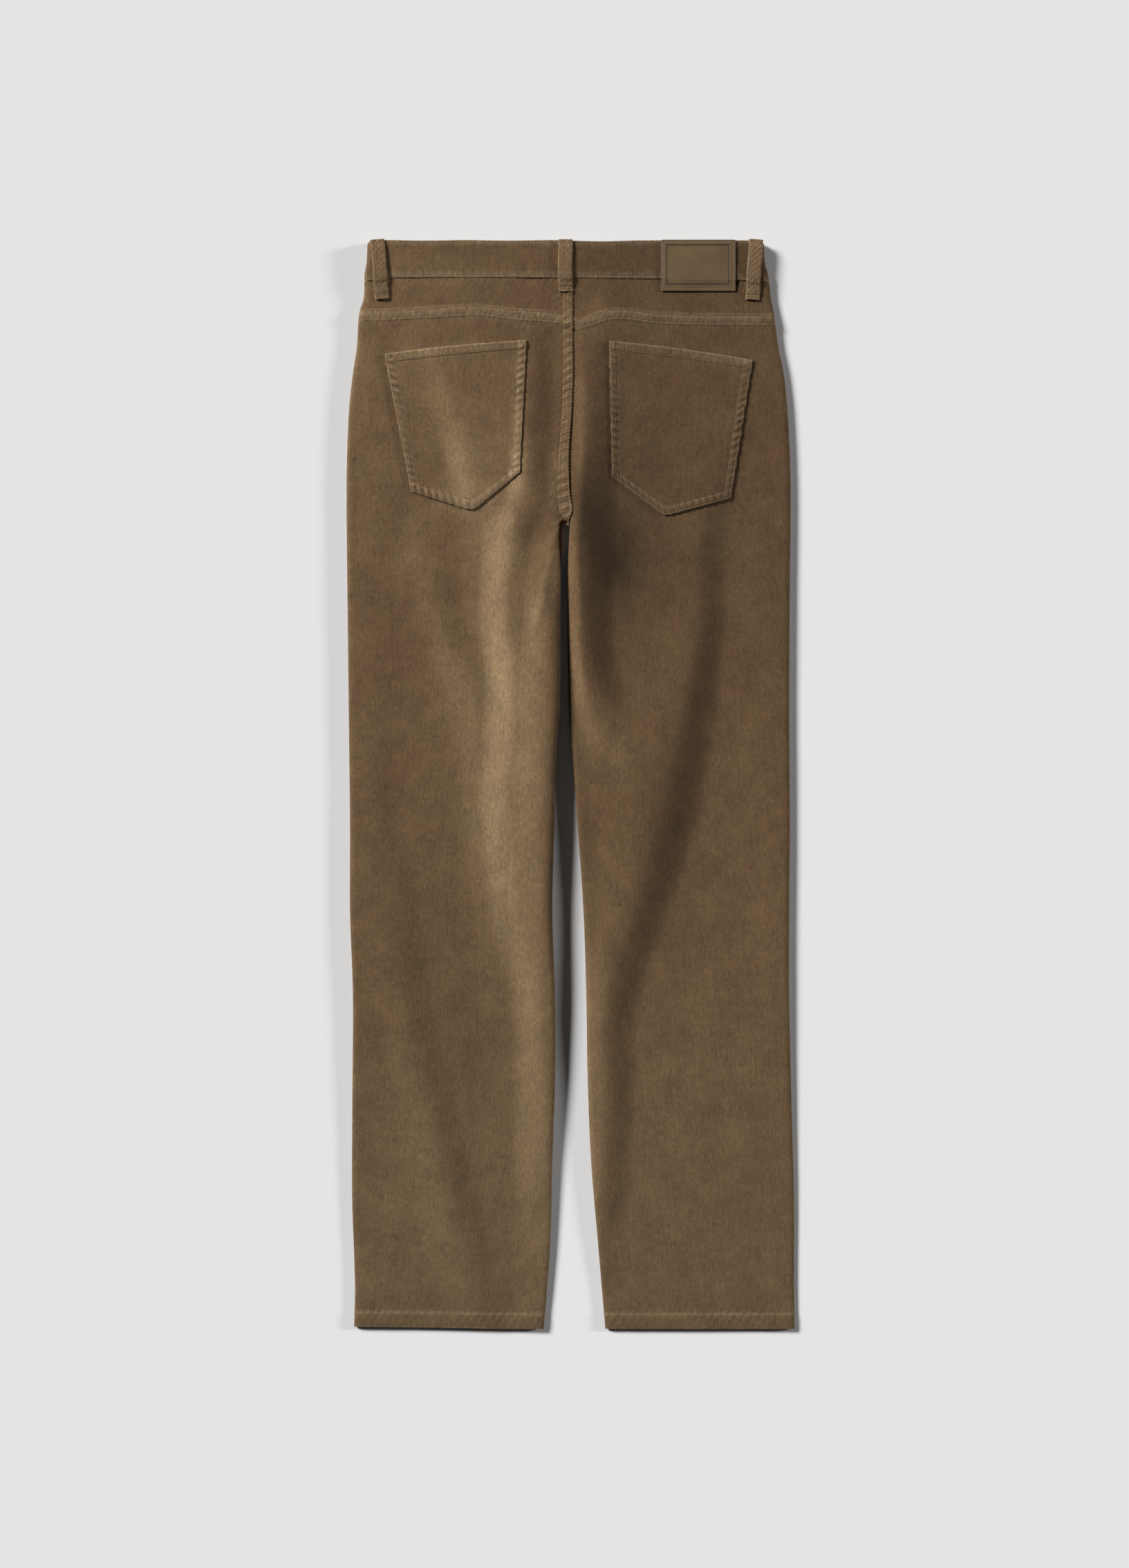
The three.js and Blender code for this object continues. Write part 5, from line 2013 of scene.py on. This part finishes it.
@dataclass
class Trousers:
    """The whole garment, from its panels to its stitches."""

    finishes: Finishes = field(default_factory=Finishes)
    pockets: tuple = (
        (Side.LEFT, Knot(-183.3, 423.3), Knot(-43.2, 436.9),
         Knot(-50.0, 306.3), Knot(-96.9, 268.3), Knot(-156.7, 287.3), 1.0),
        (Side.RIGHT, Knot(37.7, 436.2), Knot(179.2, 417.2),
         Knot(157.4, 280.5), Knot(92.8, 262.8), Knot(40.5, 302.3), 2.0),
    )
    loops: tuple = (
        ("belt_loop_back_left", -190.0, -185.3, 477.0),
        ("belt_loop_back_centre", -5.4, -5.1, 484.5),
        ("belt_loop_back_right", 182.2, 178.5, 476.4),
    )

    def build(self) -> list[Piece]:
        """Builds every piece in order, with the stitches of each group as one piece.

        Returns:
            All the pieces.
        """
        pieces = []
        for side in Side:
            pieces += self.sewn(f"leg_stitches_{side.word}", [BackLeg(self.finishes, side)])
            pieces += [Yoke(self.finishes, side).build(), *FrontLeg(self.finishes, side).build()]
        pieces += self.sewn("seat_stitches", [SeatSeam(self.finishes)])
        pieces += self.sewn("waistband_stitches", [Waistband(self.finishes)])
        for sizes in self.pockets:
            pocket = Pocket(self.finishes, *sizes)
            pieces += self.sewn(f"pocket_stitches_{pocket.side.word}", [pocket])
        pieces += self.sewn("loop_stitches", [BeltLoop(self.finishes, *sizes) for sizes in self.loops])
        for name in ("belt_loop_front_left", "belt_loop_front_right"):
            pieces.append(FrontLoop(self.finishes, name).build())
        close_needle = Needle(length=1.5, pitch=2.1, radius=0.3)
        pieces += self.sewn("label_stitches", [LabelPatch(self.finishes)], close_needle)
        pieces.append(WaistbandButton(self.finishes).build())
        return pieces

    def sewn(self, name: str, parts: list[Sewable], needle: Needle | None = None) -> list[Piece]:
        """Builds some parts and sews them.

        Args:
            name: Name of the piece that holds all their stitches.
            parts: The parts.
            needle: What sews them, the plain needle where none is given.

        Returns:
            The parts' pieces, and their stitches last.
        """
        needle = needle or Needle()
        pieces = []
        for part in parts:
            pieces.append(part.build())
            part.sew(needle)
        stitches = needle.sew(name)
        dress(stitches, self.finishes.thread, Slot.CORDUROY)
        return [*pieces, stitches]


@dataclass
class Studio:
    """Pale floor, soft light from the upper left and a camera straight above."""

    floor_width: float = 40.0
    floor_tone: float = 0.8
    floor_drop: float = 0.0002
    sky_colour: Colour = (0.97, 0.985, 1.0, 1.0)
    sky_strength: float = 0.03
    lens: float = 85.0
    frame_height: float = 1.5422
    aim: tuple[float, float] = (-0.0061, 0.0003)
    lamps: tuple[Lamp, ...] = (
        Lamp("window", 148.0, 29.0, 5.0, 16.0),
        Lamp("card on the right", 12.0, 16.0, 1.9, 8.0),
    )

    def build(self) -> None:
        """Sets up the sky, the floor, the lamps and the camera."""
        bpy.context.scene.view_settings.view_transform = "Standard"
        self.sky()
        self.floor()
        for lamp in self.lamps:
            self.light(lamp)
        self.camera()

    def sky(self) -> None:
        """Lights the scene a little from all round."""
        world = bpy.data.worlds.new("studio")
        bpy.context.scene.world = world
        world.use_nodes = True
        background = world.node_tree.nodes["Background"]
        background.inputs["Color"].default_value = self.sky_colour
        background.inputs["Strength"].default_value = self.sky_strength

    def floor(self) -> None:
        """Lays the pale floor under the garment."""
        deselect()
        bpy.ops.mesh.primitive_plane_add(size=self.floor_width, location=(0.0, 0.0, -self.floor_drop))
        floor = bpy.context.object
        floor.name = "floor"
        grey = (self.floor_tone, self.floor_tone, self.floor_tone, 1.0)
        material = Shader("floor").finish(Base_Color=grey, Roughness=0.9, Specular_IOR_Level=0.1)
        floor.data.materials.append(material)

    def camera(self) -> None:
        """Hangs the camera straight above, with the whole garment in its frame."""
        camera = bpy.data.objects.new("camera", bpy.data.cameras.new("camera"))
        bpy.context.scene.collection.objects.link(camera)
        camera.data.lens = self.lens
        camera.data.clip_end = 100.0
        distance = self.frame_height / 2 / (camera.data.sensor_width / 2 / self.lens)
        camera.location = (*self.aim, distance + LAY_HEIGHT * MM)
        bpy.context.scene.camera = camera

    def light(self, lamp: Lamp) -> None:
        """Adds one broad sun.

        Args:
            lamp: The sun, with its bearing from +X towards +Y and its elevation over the floor.
        """
        sun = bpy.data.lights.new(lamp.name, "SUN")
        sun.energy = lamp.strength
        sun.angle = math.radians(lamp.softness)
        holder = bpy.data.objects.new(lamp.name, sun)
        bpy.context.scene.collection.objects.link(holder)
        turn, lift = math.radians(lamp.bearing), math.radians(lamp.elevation)
        towards = Vector((math.cos(turn) * math.cos(lift), math.sin(turn) * math.cos(lift), math.sin(lift)))
        holder.rotation_mode = "QUATERNION"
        holder.rotation_quaternion = towards.to_track_quat("Z", "Y")


def main() -> None:
    """Builds and reports the garment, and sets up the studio."""
    logging.basicConfig(level=logging.INFO, format="%(message)s")
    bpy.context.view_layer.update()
    for piece in Trousers().build():
        log.info("%s: %d faces", piece.name, len(piece.data.polygons))
    Studio().build()


if __name__ == "__main__":
    main()
